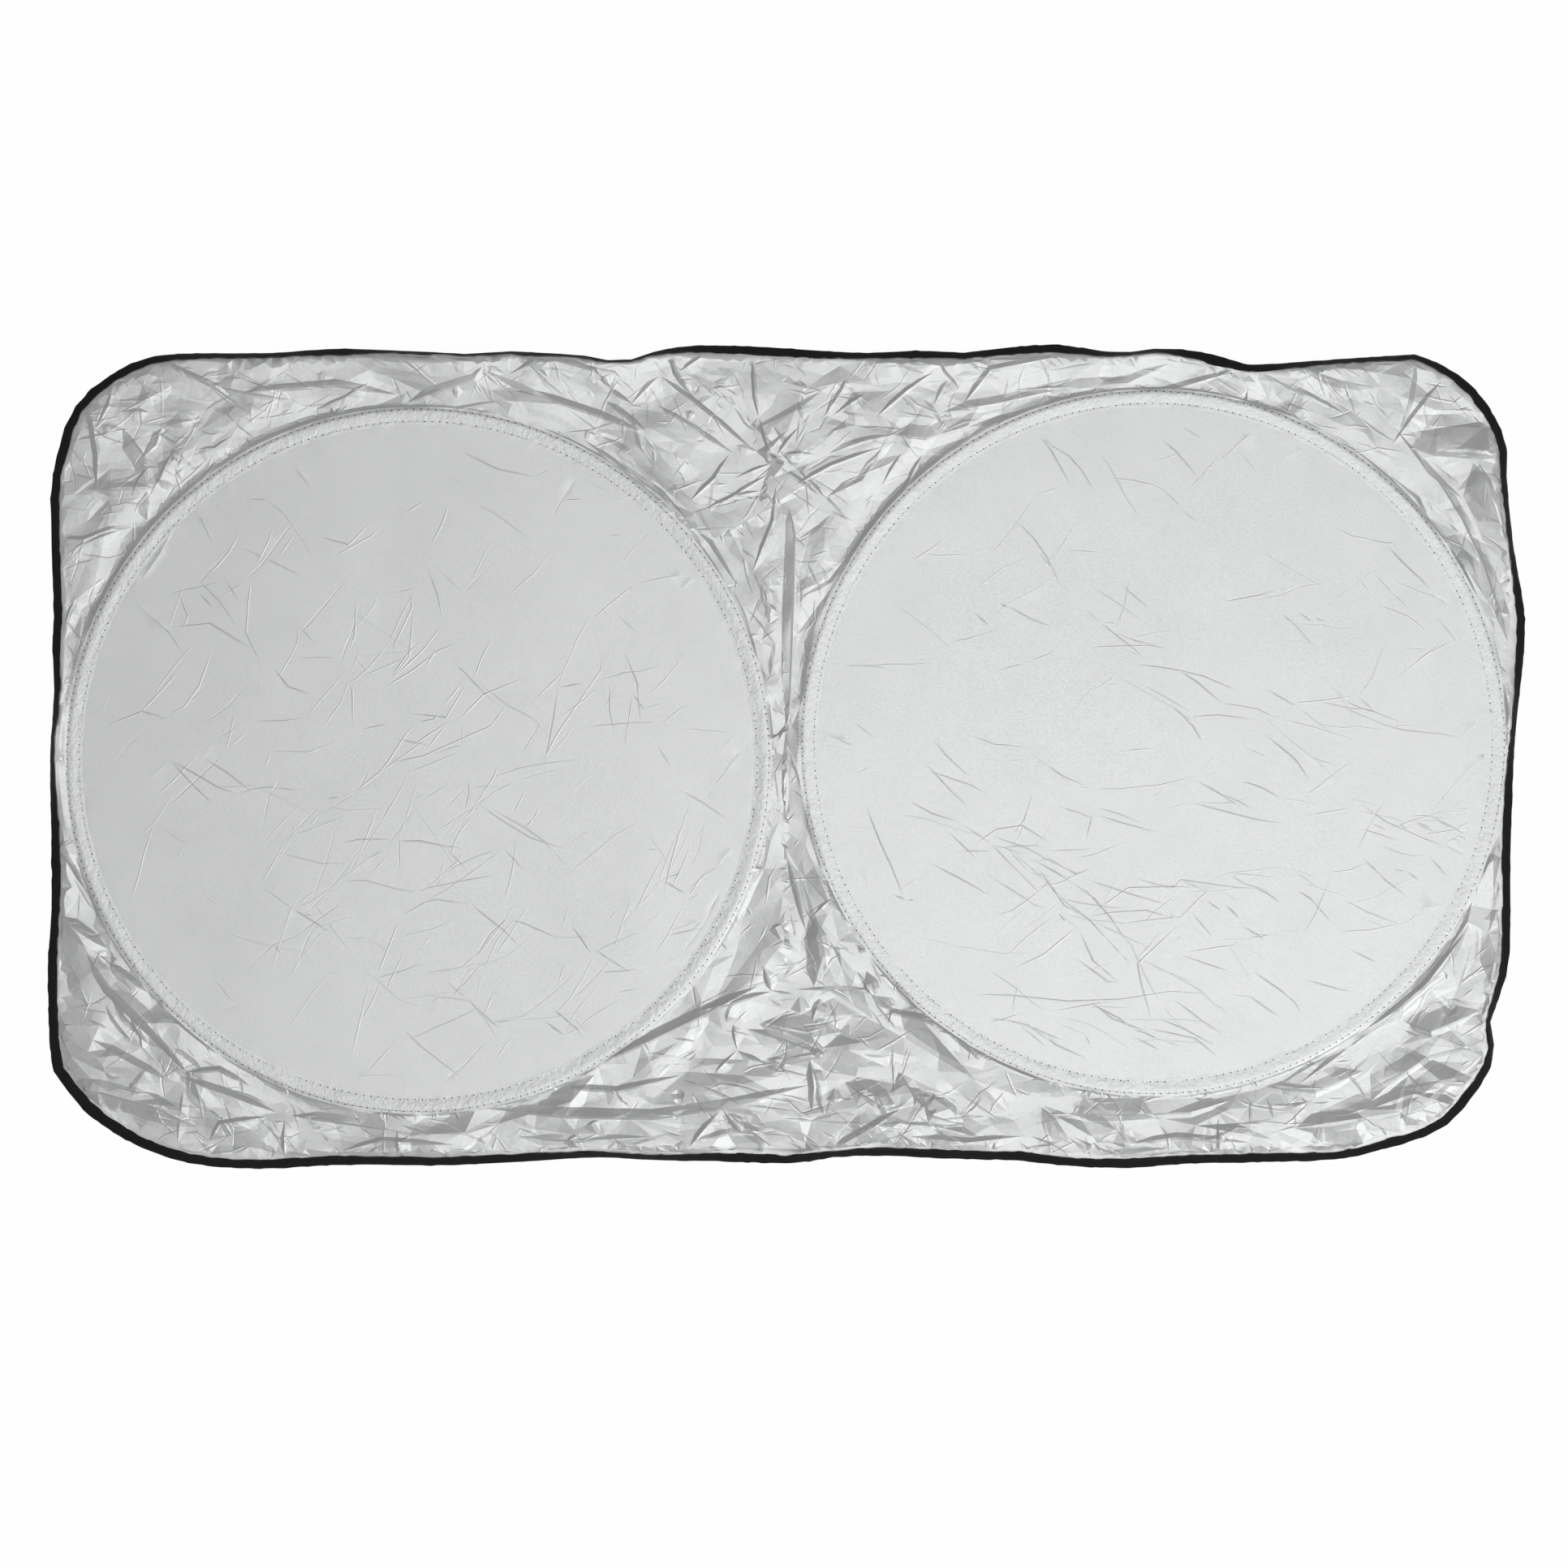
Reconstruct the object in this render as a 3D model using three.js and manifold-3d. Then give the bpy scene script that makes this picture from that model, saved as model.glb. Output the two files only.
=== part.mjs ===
// A windscreen sunshade that twists and folds away: one sheet of silver-coated polyester held open
// by two spring-steel hoops, with a black tape folded over its edge all round.
// Each hoop is a flat band, butted in a crimped sleeve, in a casing of tape sewn under the sheet.
// The shade lies front up. The two discs are taut and the cloth round them is slack and creased.
// Millimetres, +X along the shade, +Y towards the roof edge, +Z up, origin under the middle.
import * as THREE from "three";
import Module from "manifold-3d";
import { mergeVertices } from "three/addons/utils/BufferGeometryUtils.js";

// Hoops and their sleeves
const HOOP_DIAMETER = 700; // to the middle of the band
const HOOP_GAP = 45.5; // between the middles of the two bands
const BAND_THICKNESS = 0.9;
const BAND_HEIGHT = 3;
const BUTT_GAP = 1; // between the two ends of a band, inside the sleeve
const SLEEVE_WALL = 0.3;
const BAND_STEPS = 72;
const SLEEVE_STEPS = 2;

// Casings: a tape pressed to a trough between two flanges
const CASING_WIDTH = 16;
const TROUGH_WIDTH = 8;
const TROUGH_SLANT = 1;
const CASING_WALL = 0.3;
const CASING_STEPS = 48;

// Sheet and its edge tape
const SHEET_THICKNESS = 0.3;
const END_MARGIN = 27.25; // from a band to the end of the shade
const SIDE_MARGIN = 68.5; // from a band to the long edges
const LEFT_DRIFT = [-0.85, -3.7]; // how far each hoop was sewn from its true place
const RIGHT_DRIFT = [-0.85, 14.4];
const DISC_SAG = 1.7;
const TAPE_WIDTH = 8.5;
const TAPE_WALL = 0.3;
const TAPE_STATIONS = 180;
const TRAIT_HOLD = 0.5; // how much of its own roll a station keeps against its neighbours'
const TRAIT_TENSION = 0.3; // of the curve between the listed tape widths and lifts
const LEAST_SHOWN = 0.15; // share of the tape's width that shows at its steepest
const PATH_DIVISIONS = 2000; // for even steps along the edge

// Clearances
const SEAT = 0.3; // between two pieces that touch
const EDGE_CLEARANCE = 2.5; // between the edge tape and a casing
const SHEET_CLEARANCE = 0.35; // between the sheet and what the shade lies on

// Slack cloth
const CELL = 19.6; // spacing of the creased facets
const CELL_ROOM = 0.62; // share of CELL that a facet's corner keeps clear round it
const CELL_JITTER = 0.8; // share of CELL over which a corner is scattered
const CREASE_STEP = 17; // spacing of points along a sharp crease
const LEAST_SPACING = 6.5;
const CRUMPLE = 1.5; // random height of a facet's corner
const SWELL_LIFT = 1.2; // middle height of the soft waves under the creases
const SWELL_LENGTH = 95;
const SWELLS = [
  { height: 0.6, across: 1, up: 0.45, phase: 0.7 }, // across and up: waves in a SWELL_LENGTH
  { height: 0.6, across: -0.5, up: 0.62, phase: 2.1 },
  { height: 0.36, across: 1.52, up: -1.9, phase: 0 },
];
const MOST_RISE = 21; // creases that meet are held under this height
const HOOP_SLOPE = 15; // width of the cloth that runs up to a casing
const EDGE_SLOPE = 26; // width of the cloth that runs up to the edge tape
const DISC_CELL = 58;
const DISC_JITTER = 0.4; // share of DISC_CELL over which a corner is scattered
const DISC_ROOM = 1 / 3; // share of DISC_CELL that is kept clear inside a casing
const END_FADE = 0.12; // how far along its fade a crease starts and ends

const SHEET_SEED = 41;
const PLAN_SEED = 7;
const WELD = 1e-4; // points closer than this are one point

const SILVER = { color: 0xc9cccd, metalness: 0.6, roughness: 0.42 };
const BLACK_TAPE = { color: 0x1f1f20, metalness: 0, roughness: 0.85 };
const GREY_TAPE = { color: 0xa9acad, metalness: 0.1, roughness: 0.7 };
const STEEL = { color: 0x8f9396, metalness: 1, roughness: 0.32 };

// Heights, from what the shade lies on upwards
const sleeveBottom = CASING_WALL + SEAT;
const bandBottom = sleeveBottom + SLEEVE_WALL + SEAT;
const sleeveTop = bandBottom + BAND_HEIGHT + SEAT + SLEEVE_WALL;
const casingTop = sleeveTop;
const discHeight = casingTop + SEAT + SHEET_THICKNESS / 2; // middle of the sheet on a casing

const hoopRadius = HOOP_DIAMETER / 2;
const casingInner = hoopRadius - CASING_WIDTH / 2;
const casingOuter = hoopRadius + CASING_WIDTH / 2;
const length = 2 * HOOP_DIAMETER + HOOP_GAP + 2 * END_MARGIN;
const width = HOOP_DIAMETER + 2 * SIDE_MARGIN;
const hoopOffset = hoopRadius + HOOP_GAP / 2;
const hoopCentres = [
  new THREE.Vector2(LEFT_DRIFT[0] - hoopOffset, LEFT_DRIFT[1]),
  new THREE.Vector2(RIGHT_DRIFT[0] + hoopOffset, RIGHT_DRIFT[1]),
];

// The edge, anticlockwise from the left end of the bottom side.
// A side's points are: share along it, inset from it, tape width seen from above, lift.
// A corner's points are: inset from the end, inset from the side, tape width seen from above, lift.
const BOTTOM_SIDE = [
  [0.111, 2.5, 8, 0],
  [0.144, 0, 8, 0],
  [0.2, 4, 8, 0],
  [0.265, 3.3, 7.6, 0],
  [0.32, 6.8, 7.6, 0],
  [0.374, 11.5, 5, 0],
  [0.41, 8.6, 5.2, 0],
  [0.462, 7.4, 7.8, 0],
  [0.506, 5.6, 7.8, 0],
  [0.53, 11.5, 5, 1],
  [0.562, 13.2, 7.6, 0],
  [0.616, 9.9, 7.6, 0],
  [0.66, 8.2, 7.8, 0],
  [0.685, 3.6, 7.8, 0],
  [0.725, 0.8, 8, 0],
  [0.769, 4.9, 7.8, 0],
  [0.835, 7.4, 7.6, 0],
  [0.88, 10.7, 7.6, 0],
];
const BOTTOM_RIGHT = [
  [148.5, 18.9, 8, 0],
  [115.6, 28, 8, 0],
  [82.7, 42, 8, 0],
  [52.2, 74.9, 8, 0],
  [33, 107.8, 7, 0],
];
const RIGHT_SIDE = [
  [0.145, 30.5, 6, 1],
  [0.168, 37, 3.6, 3],
  [0.203, 28.4, 6, 2],
  [0.246, 17, 7.8, 0],
  [0.3, 15, 8, 0],
  [0.38, 15, 8, 0],
  [0.46, 13, 7.8, 0],
  [0.522, 10.3, 5, 0],
  [0.562, 7, 5, 0],
  [0.61, 2.6, 8, 0],
  [0.66, 0, 8, 0],
  [0.7, 3.8, 8, 0],
  [0.73, 8.5, 5.4, 0],
  [0.77, 13.6, 4.6, 0],
  [0.837, 18.6, 6, 0],
];
const TOP_RIGHT = [
  [19.3, 99.6, 8, 0],
  [32.5, 70.8, 8, 0],
  [54, 42, 8, 0],
  [82.7, 21.4, 7.6, 0],
  [113, 9.9, 5, 1],
];
const TOP_SIDE = [
  [0.095, 9, 4.6, 0],
  [0.15, 8.4, 4.2, 0],
  [0.18, 5.6, 5, 0],
  [0.2, 4.1, 7.6, 0],
  [0.221, 5, 3, 1],
  [0.265, 8.2, 1.8, 1],
  [0.287, 9.6, 1.8, 2],
  [0.309, 6.8, 2.2, 2],
  [0.331, 8.2, 4.2, 2],
  [0.36, 11, 1.6, 4],
  [0.389, 17.4, 1.6, 4],
  [0.406, 9, 2.6, 2],
  [0.43, 1.6, 6, 0],
  [0.462, 0.8, 8, 0],
  [0.51, 4.6, 8, 0],
  [0.55, 8.2, 5, 0],
  [0.594, 5.8, 7.6, 0],
  [0.616, 8.2, 5, 0],
  [0.65, 2.6, 7.6, 0],
  [0.682, 0, 7.8, 0],
  [0.704, 4.1, 6.6, 0],
  [0.726, 8.2, 3.3, 1],
  [0.747, 4.3, 1.8, 2],
  [0.769, 4.9, 8, 0],
  [0.79, 10.5, 8.5, 1],
  [0.808, 20, 7, 5],
  [0.84, 18.6, 4.6, 3],
  [0.88, 14, 4.4, 1],
  [0.915, 10.8, 4.6, 1],
];
const TOP_LEFT = [
  [104, 12.4, 7.6, 0],
  [67.9, 28, 7.6, 0],
  [43, 46, 7.8, 0],
  [22.6, 70.8, 8, 0],
  [11.9, 103.7, 8, 0],
  [3.4, 140, 8, 0],
];
const LEFT_SIDE = [
  [0.168, 1.2, 8.4, 0],
  [0.247, 0, 8.2, 0],
  [0.326, 3.7, 8, 0],
  [0.4, 3.2, 8, 0],
  [0.483, 2.1, 4.4, 0],
  [0.53, 3.2, 3.4, 1],
  [0.565, 6, 6, 0],
  [0.64, 4.5, 8, 0],
  [0.68, 6, 8, 0],
  [0.719, 4.2, 8, 0],
  [0.79, 2.9, 8, 0],
];
const BOTTOM_LEFT = [
  [3.7, 108, 9, 0],
  [9, 93, 10, 0],
  [23.4, 74.9, 10.5, 0],
  [39, 57, 10, 0],
  [67.9, 36.2, 9, 0],
  [100.8, 18.9, 8.4, 0],
  [133.7, 8.2, 8, 0],
];

// Creases that were seen one by one. Points are shares of the half length and half width, and
// upper and lower are the widths of the flanks that face the top left and the bottom right.
const CREASES = [
  // Top left
  { crest: [[-0.948, 0.854], [-0.931, 0.742], [-0.933, 0.648]], rise: 7, upper: 7, lower: 22 },
  { crest: [[-0.897, 0.795], [-0.871, 0.727], [-0.863, 0.66]], rise: 8, upper: 14, lower: 20 },
  { crest: [[-0.912, 0.898], [-0.914, 0.856], [-0.93, 0.805]], rise: 4, upper: 5, lower: 14 },
  { crest: [[-0.882, 0.851], [-0.839, 0.89]], rise: 4, upper: 16, lower: 8 },
  {
    crest: [[-0.861, 0.78], [-0.843, 0.803], [-0.792, 0.817], [-0.742, 0.825]],
    rise: 4,
    upper: 10,
    lower: 6,
  },
  {
    crest: [[-0.841, 0.967], [-0.817, 0.929], [-0.772, 0.896], [-0.744, 0.853]],
    rise: 5,
    upper: 6,
    lower: 16,
  },
  { crest: [[-0.741, 0.831], [-0.758, 0.772], [-0.796, 0.713]], rise: 4, upper: 12, lower: 7 },
  { crest: [[-0.943, 0.644], [-0.881, 0.613], [-0.866, 0.575]], rise: 5, upper: 18, lower: 7 },
  {
    crest: [[-0.984, 0.528], [-0.948, 0.526], [-0.9, 0.55], [-0.87, 0.565]],
    rise: 4,
    upper: 9,
    lower: 14,
  },
  { crest: [[-0.982, 0.416], [-0.953, 0.438], [-0.94, 0.477]], rise: 4, upper: 10, lower: 8 },
  { crest: [[-0.848, 0.972], [-0.828, 0.89]], rise: 4, upper: 9, lower: 12 },
  { crest: [[-0.725, 0.969], [-0.69, 0.925], [-0.637, 0.908]], rise: 4, upper: 14, lower: 8 },
  { crest: [[-0.594, 0.969], [-0.515, 0.957], [-0.421, 0.955]], rise: 6, upper: 12, lower: 10 },
  {
    crest: [[-0.734, 0.882], [-0.685, 0.89], [-0.609, 0.9], [-0.526, 0.878]],
    rise: 6,
    upper: 12,
    lower: 7,
  },
  { crest: [[-0.637, 0.841], [-0.597, 0.87], [-0.562, 0.908]], rise: 5, upper: 6, lower: 8 },
  {
    crest: [[-0.515, 0.858], [-0.465, 0.89], [-0.422, 0.915], [-0.411, 0.943]],
    rise: 6,
    upper: 14,
    lower: 6,
  },
  { crest: [[-0.504, 0.847], [-0.449, 0.841], [-0.383, 0.862]], rise: 3, upper: 6, lower: 5 },
  // Top, between the hoops
  {
    crest: [[-0.368, 0.886], [-0.315, 0.862], [-0.253, 0.827], [-0.196, 0.788]],
    rise: 7,
    upper: 12,
    lower: 14,
  },
  {
    crest: [[-0.375, 0.925], [-0.325, 0.967], [-0.257, 0.935], [-0.24, 0.894]],
    rise: 6,
    upper: 8,
    lower: 24,
  },
  { crest: [[-0.255, 0.933], [-0.233, 0.884], [-0.208, 0.854]], rise: 5, upper: 6, lower: 9 },
  { crest: [[-0.211, 0.853], [-0.173, 0.921]], rise: 4, upper: 9, lower: 9 },
  {
    crest: [[-0.168, 0.921], [-0.131, 0.872], [-0.09, 0.813], [-0.047, 0.746]],
    rise: 6,
    upper: 5,
    lower: 16,
  },
  { crest: [[-0.179, 0.856], [-0.124, 0.795], [-0.072, 0.736]], rise: 4, upper: 7, lower: 10 },
  { crest: [[-0.047, 0.974], [-0.042, 0.872], [-0.038, 0.823]], rise: 5, upper: 5, lower: 18 },
  { crest: [[-0.105, 0.98], [-0.144, 0.933]], rise: 4, upper: 8, lower: 7 },
  { crest: [[-0.158, 0.98], [-0.15, 0.929], [-0.128, 0.876]], rise: 5, upper: 7, lower: 7 },
  {
    crest: [[-0.274, 0.77], [-0.218, 0.693], [-0.17, 0.64], [-0.101, 0.52], [-0.067, 0.416]],
    rise: 5,
    upper: 8,
    lower: 10,
  },
  { crest: [[-0.244, 0.862], [-0.218, 0.827], [-0.189, 0.786]], rise: 5, upper: 8, lower: 12 },
  { crest: [[-0.131, 0.62], [-0.098, 0.674], [-0.078, 0.733]], rise: 5, upper: 8, lower: 14 },
  { crest: [[-0.111, 0.599], [-0.07, 0.63], [-0.033, 0.644]], rise: 4, upper: 7, lower: 8 },
  { crest: [[0.05, 0.823], [0.077, 0.894], [0.078, 0.913]], rise: 6, upper: 9, lower: 8 },
  { crest: [[0.063, 0.827], [0.106, 0.88]], rise: 5, upper: 8, lower: 6 },
  { crest: [[0.121, 0.821], [0.163, 0.886], [0.199, 0.931]], rise: 5, upper: 8, lower: 28 },
  {
    crest: [[0.142, 0.782], [0.189, 0.772], [0.242, 0.801], [0.27, 0.835]],
    rise: 7,
    upper: 26,
    lower: 8,
  },
  {
    crest: [[0.21, 0.835], [0.281, 0.856], [0.352, 0.884], [0.396, 0.892]],
    rise: 6,
    upper: 16,
    lower: 8,
  },
  { crest: [[0.239, 0.854], [0.276, 0.937], [0.363, 0.967]], rise: 6, upper: 10, lower: 12 },
  { crest: [[0.2, 0.854], [0.217, 0.913]], rise: 3, upper: 8, lower: 8 },
  { crest: [[0.152, 0.611], [0.171, 0.687], [0.184, 0.733]], rise: 6, upper: 7, lower: 12 },
  { crest: [[0.128, 0.654], [0.156, 0.736]], rise: 4, upper: 6, lower: 8 },
  { crest: [[0.056, 0.63], [0.102, 0.67], [0.128, 0.746]], rise: 6, upper: 14, lower: 9 },
  { crest: [[0.01, 0.656], [0.06, 0.705], [0.128, 0.75]], rise: 5, upper: 8, lower: 16 },
  { crest: [[0.056, 0.733], [0.1, 0.762], [0.142, 0.78]], rise: 4, upper: 10, lower: 8 },
  { crest: [[0.015, 0.862], [0.023, 0.817]], rise: 3, upper: 5, lower: 7 },
  // Pucker at the head of the tuck
  { crest: [[-0.038, 0.823], [-0.021, 0.733]], rise: 5, upper: 6, lower: 7 },
  { crest: [[0.018, 0.801], [-0.013, 0.729]], rise: 5, upper: 7, lower: 7 },
  { crest: [[-0.072, 0.674], [-0.023, 0.709]], rise: 4, upper: 6, lower: 7 },
  { crest: [[-0.098, 0.605], [-0.026, 0.683]], rise: 4, upper: 7, lower: 7 },
  { crest: [[-0.047, 0.441], [-0.018, 0.573], [-0.015, 0.654]], rise: 5, upper: 7, lower: 7 },
  { crest: [[0.045, 0.634], [-0.008, 0.703]], rise: 4, upper: 7, lower: 7 },
  { crest: [[0.037, 0.733], [-0.004, 0.733]], rise: 4, upper: 6, lower: 6 },
  // Sewn tuck down the middle
  { crest: [[-0.003, 0.591], [0.001, 0.359], [0.003, 0.123]], rise: 3, upper: 9, lower: 4 },
  { crest: [[0.003, 0.123], [-0.002, -0.156]], rise: 2.5, upper: 5, lower: 4 },
  { crest: [[0.001, -0.247], [0.014, -0.339], [0.026, -0.422]], rise: 4, upper: 7, lower: 6 },
  { crest: [[0.038, -0.386], [0.049, -0.483], [0.037, -0.558]], rise: 6, upper: 16, lower: 8 },
  { crest: [[0.034, -0.386], [0.06, -0.343]], rise: 3, upper: 6, lower: 6 },
  { crest: [[0.011, -0.563], [0.114, -0.563]], rise: 3, upper: 8, lower: 5 },
  // Top right
  { crest: [[0.308, 0.89], [0.461, 0.906], [0.518, 0.953]], rise: 6, upper: 16, lower: 8 },
  {
    crest: [[0.396, 0.851], [0.473, 0.866], [0.561, 0.91], [0.615, 0.939]],
    rise: 5,
    upper: 12,
    lower: 9,
  },
  { crest: [[0.648, 0.925], [0.703, 0.878], [0.758, 0.827]], rise: 4, upper: 8, lower: 10 },
  { crest: [[0.692, 0.945], [0.747, 0.91], [0.802, 0.894]], rise: 5, upper: 10, lower: 12 },
  { crest: [[0.85, 0.971], [0.838, 0.858], [0.826, 0.782]], rise: 5, upper: 7, lower: 12 },
  { crest: [[0.885, 0.91], [0.851, 0.831], [0.818, 0.756]], rise: 5, upper: 8, lower: 10 },
  { crest: [[0.867, 0.738], [0.917, 0.746], [0.972, 0.731]], rise: 6, upper: 16, lower: 8 },
  { crest: [[0.928, 0.713], [0.958, 0.605], [0.98, 0.477]], rise: 8, upper: 20, lower: 6 },
  { crest: [[0.879, 0.674], [0.912, 0.575], [0.945, 0.457]], rise: 5, upper: 8, lower: 14 },
  { crest: [[0.934, 0.5], [0.956, 0.388], [0.976, 0.278]], rise: 4, upper: 8, lower: 8 },
  // Bottom left
  { crest: [[-0.985, -0.186], [-0.97, -0.251], [-0.942, -0.339]], rise: 5, upper: 7, lower: 7 },
  { crest: [[-0.982, -0.384], [-0.948, -0.428], [-0.915, -0.469]], rise: 6, upper: 14, lower: 8 },
  {
    crest: [[-0.946, -0.475], [-0.916, -0.561], [-0.879, -0.624], [-0.833, -0.709], [-0.809, -0.764]],
    rise: 9,
    upper: 14,
    lower: 8,
  },
  { crest: [[-0.92, -0.495], [-0.888, -0.536], [-0.86, -0.577]], rise: 5, upper: 8, lower: 6 },
  { crest: [[-0.937, -0.685], [-0.888, -0.733], [-0.833, -0.786]], rise: 5, upper: 10, lower: 12 },
  {
    crest: [[-0.974, -0.795], [-0.931, -0.809], [-0.855, -0.845], [-0.796, -0.896]],
    rise: 8,
    upper: 12,
    lower: 16,
  },
  { crest: [[-0.82, -0.774], [-0.754, -0.815], [-0.69, -0.862]], rise: 7, upper: 9, lower: 12 },
  { crest: [[-0.78, -0.933], [-0.765, -0.89], [-0.701, -0.872]], rise: 5, upper: 8, lower: 8 },
  { crest: [[-0.813, -0.764], [-0.767, -0.758], [-0.725, -0.799]], rise: 5, upper: 8, lower: 10 },
  { crest: [[-0.671, -0.87], [-0.602, -0.884], [-0.534, -0.906]], rise: 7, upper: 14, lower: 9 },
  { crest: [[-0.527, -0.902], [-0.52, -0.98]], rise: 4, upper: 8, lower: 8 },
  { crest: [[-0.679, -0.88], [-0.679, -0.967]], rise: 4, upper: 8, lower: 10 },
  { crest: [[-0.602, -0.955], [-0.547, -0.929], [-0.449, -0.939]], rise: 4, upper: 8, lower: 10 },
  // Bottom, between the hoops
  {
    crest: [[-0.258, -0.746], [-0.185, -0.687], [-0.111, -0.624], [-0.037, -0.554]],
    rise: 8,
    upper: 18,
    lower: 9,
  },
  { crest: [[-0.053, -0.66], [-0.001, -0.683], [0.05, -0.721]], rise: 5, upper: 9, lower: 9 },
  {
    crest: [[-0.405, -0.853], [-0.295, -0.87], [-0.18, -0.874], [-0.087, -0.849], [0.031, -0.795]],
    rise: 7,
    upper: 16,
    lower: 10,
  },
  { crest: [[-0.306, -0.801], [-0.229, -0.811], [-0.142, -0.772]], rise: 5, upper: 10, lower: 12 },
  { crest: [[-0.361, -0.919], [-0.273, -0.929], [-0.185, -0.919]], rise: 4, upper: 10, lower: 8 },
  { crest: [[-0.131, -0.929], [-0.054, -0.904], [0.012, -0.919]], rise: 4, upper: 10, lower: 9 },
  { crest: [[-0.067, -0.713], [-0.098, -0.766]], rise: 4, upper: 6, lower: 6 },
  { crest: [[-0.067, -0.713], [-0.03, -0.746]], rise: 4, upper: 6, lower: 6 },
  { crest: [[-0.067, -0.713], [-0.072, -0.648]], rise: 4, upper: 6, lower: 6 },
  { crest: [[0.031, -0.738], [0.043, -0.801], [0.05, -0.87]], rise: 4, upper: 10, lower: 6 },
  { crest: [[0.148, -0.764], [0.221, -0.811], [0.301, -0.866]], rise: 9, upper: 24, lower: 8 },
  { crest: [[0.056, -0.959], [0.102, -0.91], [0.154, -0.853]], rise: 6, upper: 12, lower: 8 },
  { crest: [[0.089, -0.782], [0.122, -0.821], [0.138, -0.89]], rise: 4, upper: 8, lower: 8 },
  { crest: [[0.166, -0.919], [0.242, -0.935], [0.319, -0.919]], rise: 4, upper: 10, lower: 8 },
  // Bottom right
  {
    crest: [[0.355, -0.868], [0.451, -0.866], [0.546, -0.86], [0.599, -0.835]],
    rise: 6,
    upper: 12,
    lower: 9,
  },
  { crest: [[0.462, -0.939], [0.528, -0.919], [0.626, -0.935]], rise: 4, upper: 9, lower: 9 },
  { crest: [[0.583, -0.876], [0.585, -0.967]], rise: 4, upper: 7, lower: 9 },
  { crest: [[0.648, -0.801], [0.714, -0.811], [0.78, -0.762]], rise: 5, upper: 10, lower: 12 },
  { crest: [[0.686, -0.902], [0.736, -0.894], [0.786, -0.876]], rise: 5, upper: 12, lower: 7 },
  {
    crest: [[0.747, -0.703], [0.824, -0.615], [0.884, -0.516], [0.923, -0.408]],
    rise: 5,
    upper: 10,
    lower: 12,
  },
  {
    crest: [[0.79, -0.835], [0.828, -0.772], [0.867, -0.723], [0.942, -0.689]],
    rise: 6,
    upper: 9,
    lower: 12,
  },
  { crest: [[0.828, -0.876], [0.877, -0.811], [0.924, -0.74]], rise: 6, upper: 8, lower: 12 },
  { crest: [[0.833, -0.638], [0.871, -0.664], [0.938, -0.613]], rise: 5, upper: 9, lower: 9 },
  { crest: [[0.967, -0.349], [0.961, -0.447], [0.95, -0.546]], rise: 4, upper: 6, lower: 8 },
];

const up = new THREE.Vector3(0, 0, 1);

function seededRandom(seed) {
  let state = seed;
  return () => {
    state = (state + 0x6d2b79f5) | 0;
    let t = Math.imul(state ^ (state >>> 15), 1 | state);
    t = (t + Math.imul(t ^ (t >>> 7), 61 | t)) ^ t;
    return ((t ^ (t >>> 14)) >>> 0) / 4294967296;
  };
}

function smooth(value) {
  const t = THREE.MathUtils.clamp(value, 0, 1);
  return t * t * (3 - 2 * t);
}

// Outline: the listed points as plan positions with their tape width and lift
function outlinePoints() {
  const halfLength = length / 2;
  const halfWidth = width / 2;
  const alongX = (side, list) =>
    list.map(([share, inset, shown, lift]) => ({
      plan: [length * share - halfLength, side * (halfWidth - inset)],
      shown,
      lift,
    }));
  const alongY = (side, list) =>
    list.map(([share, inset, shown, lift]) => ({
      plan: [side * (halfLength - inset), width * share - halfWidth],
      shown,
      lift,
    }));
  const corner = (sideX, sideY, list) =>
    list.map(([fromEnd, fromSide, shown, lift]) => ({
      plan: [sideX * (halfLength - fromEnd), sideY * (halfWidth - fromSide)],
      shown,
      lift,
    }));
  return [
    ...alongX(-1, BOTTOM_SIDE),
    ...corner(1, -1, BOTTOM_RIGHT),
    ...alongY(1, RIGHT_SIDE),
    ...corner(1, 1, TOP_RIGHT),
    ...alongX(1, TOP_SIDE).reverse(),
    ...corner(-1, 1, TOP_LEFT),
    ...alongY(-1, LEFT_SIDE).reverse(),
    ...corner(-1, -1, BOTTOM_LEFT),
  ];
}

// Distance from a plan point to the outer edge of the nearest casing
function distanceToCasing(x, y) {
  return Math.min(...hoopCentres.map((c) => Math.hypot(x - c.x, y - c.y))) - casingOuter;
}

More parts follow.
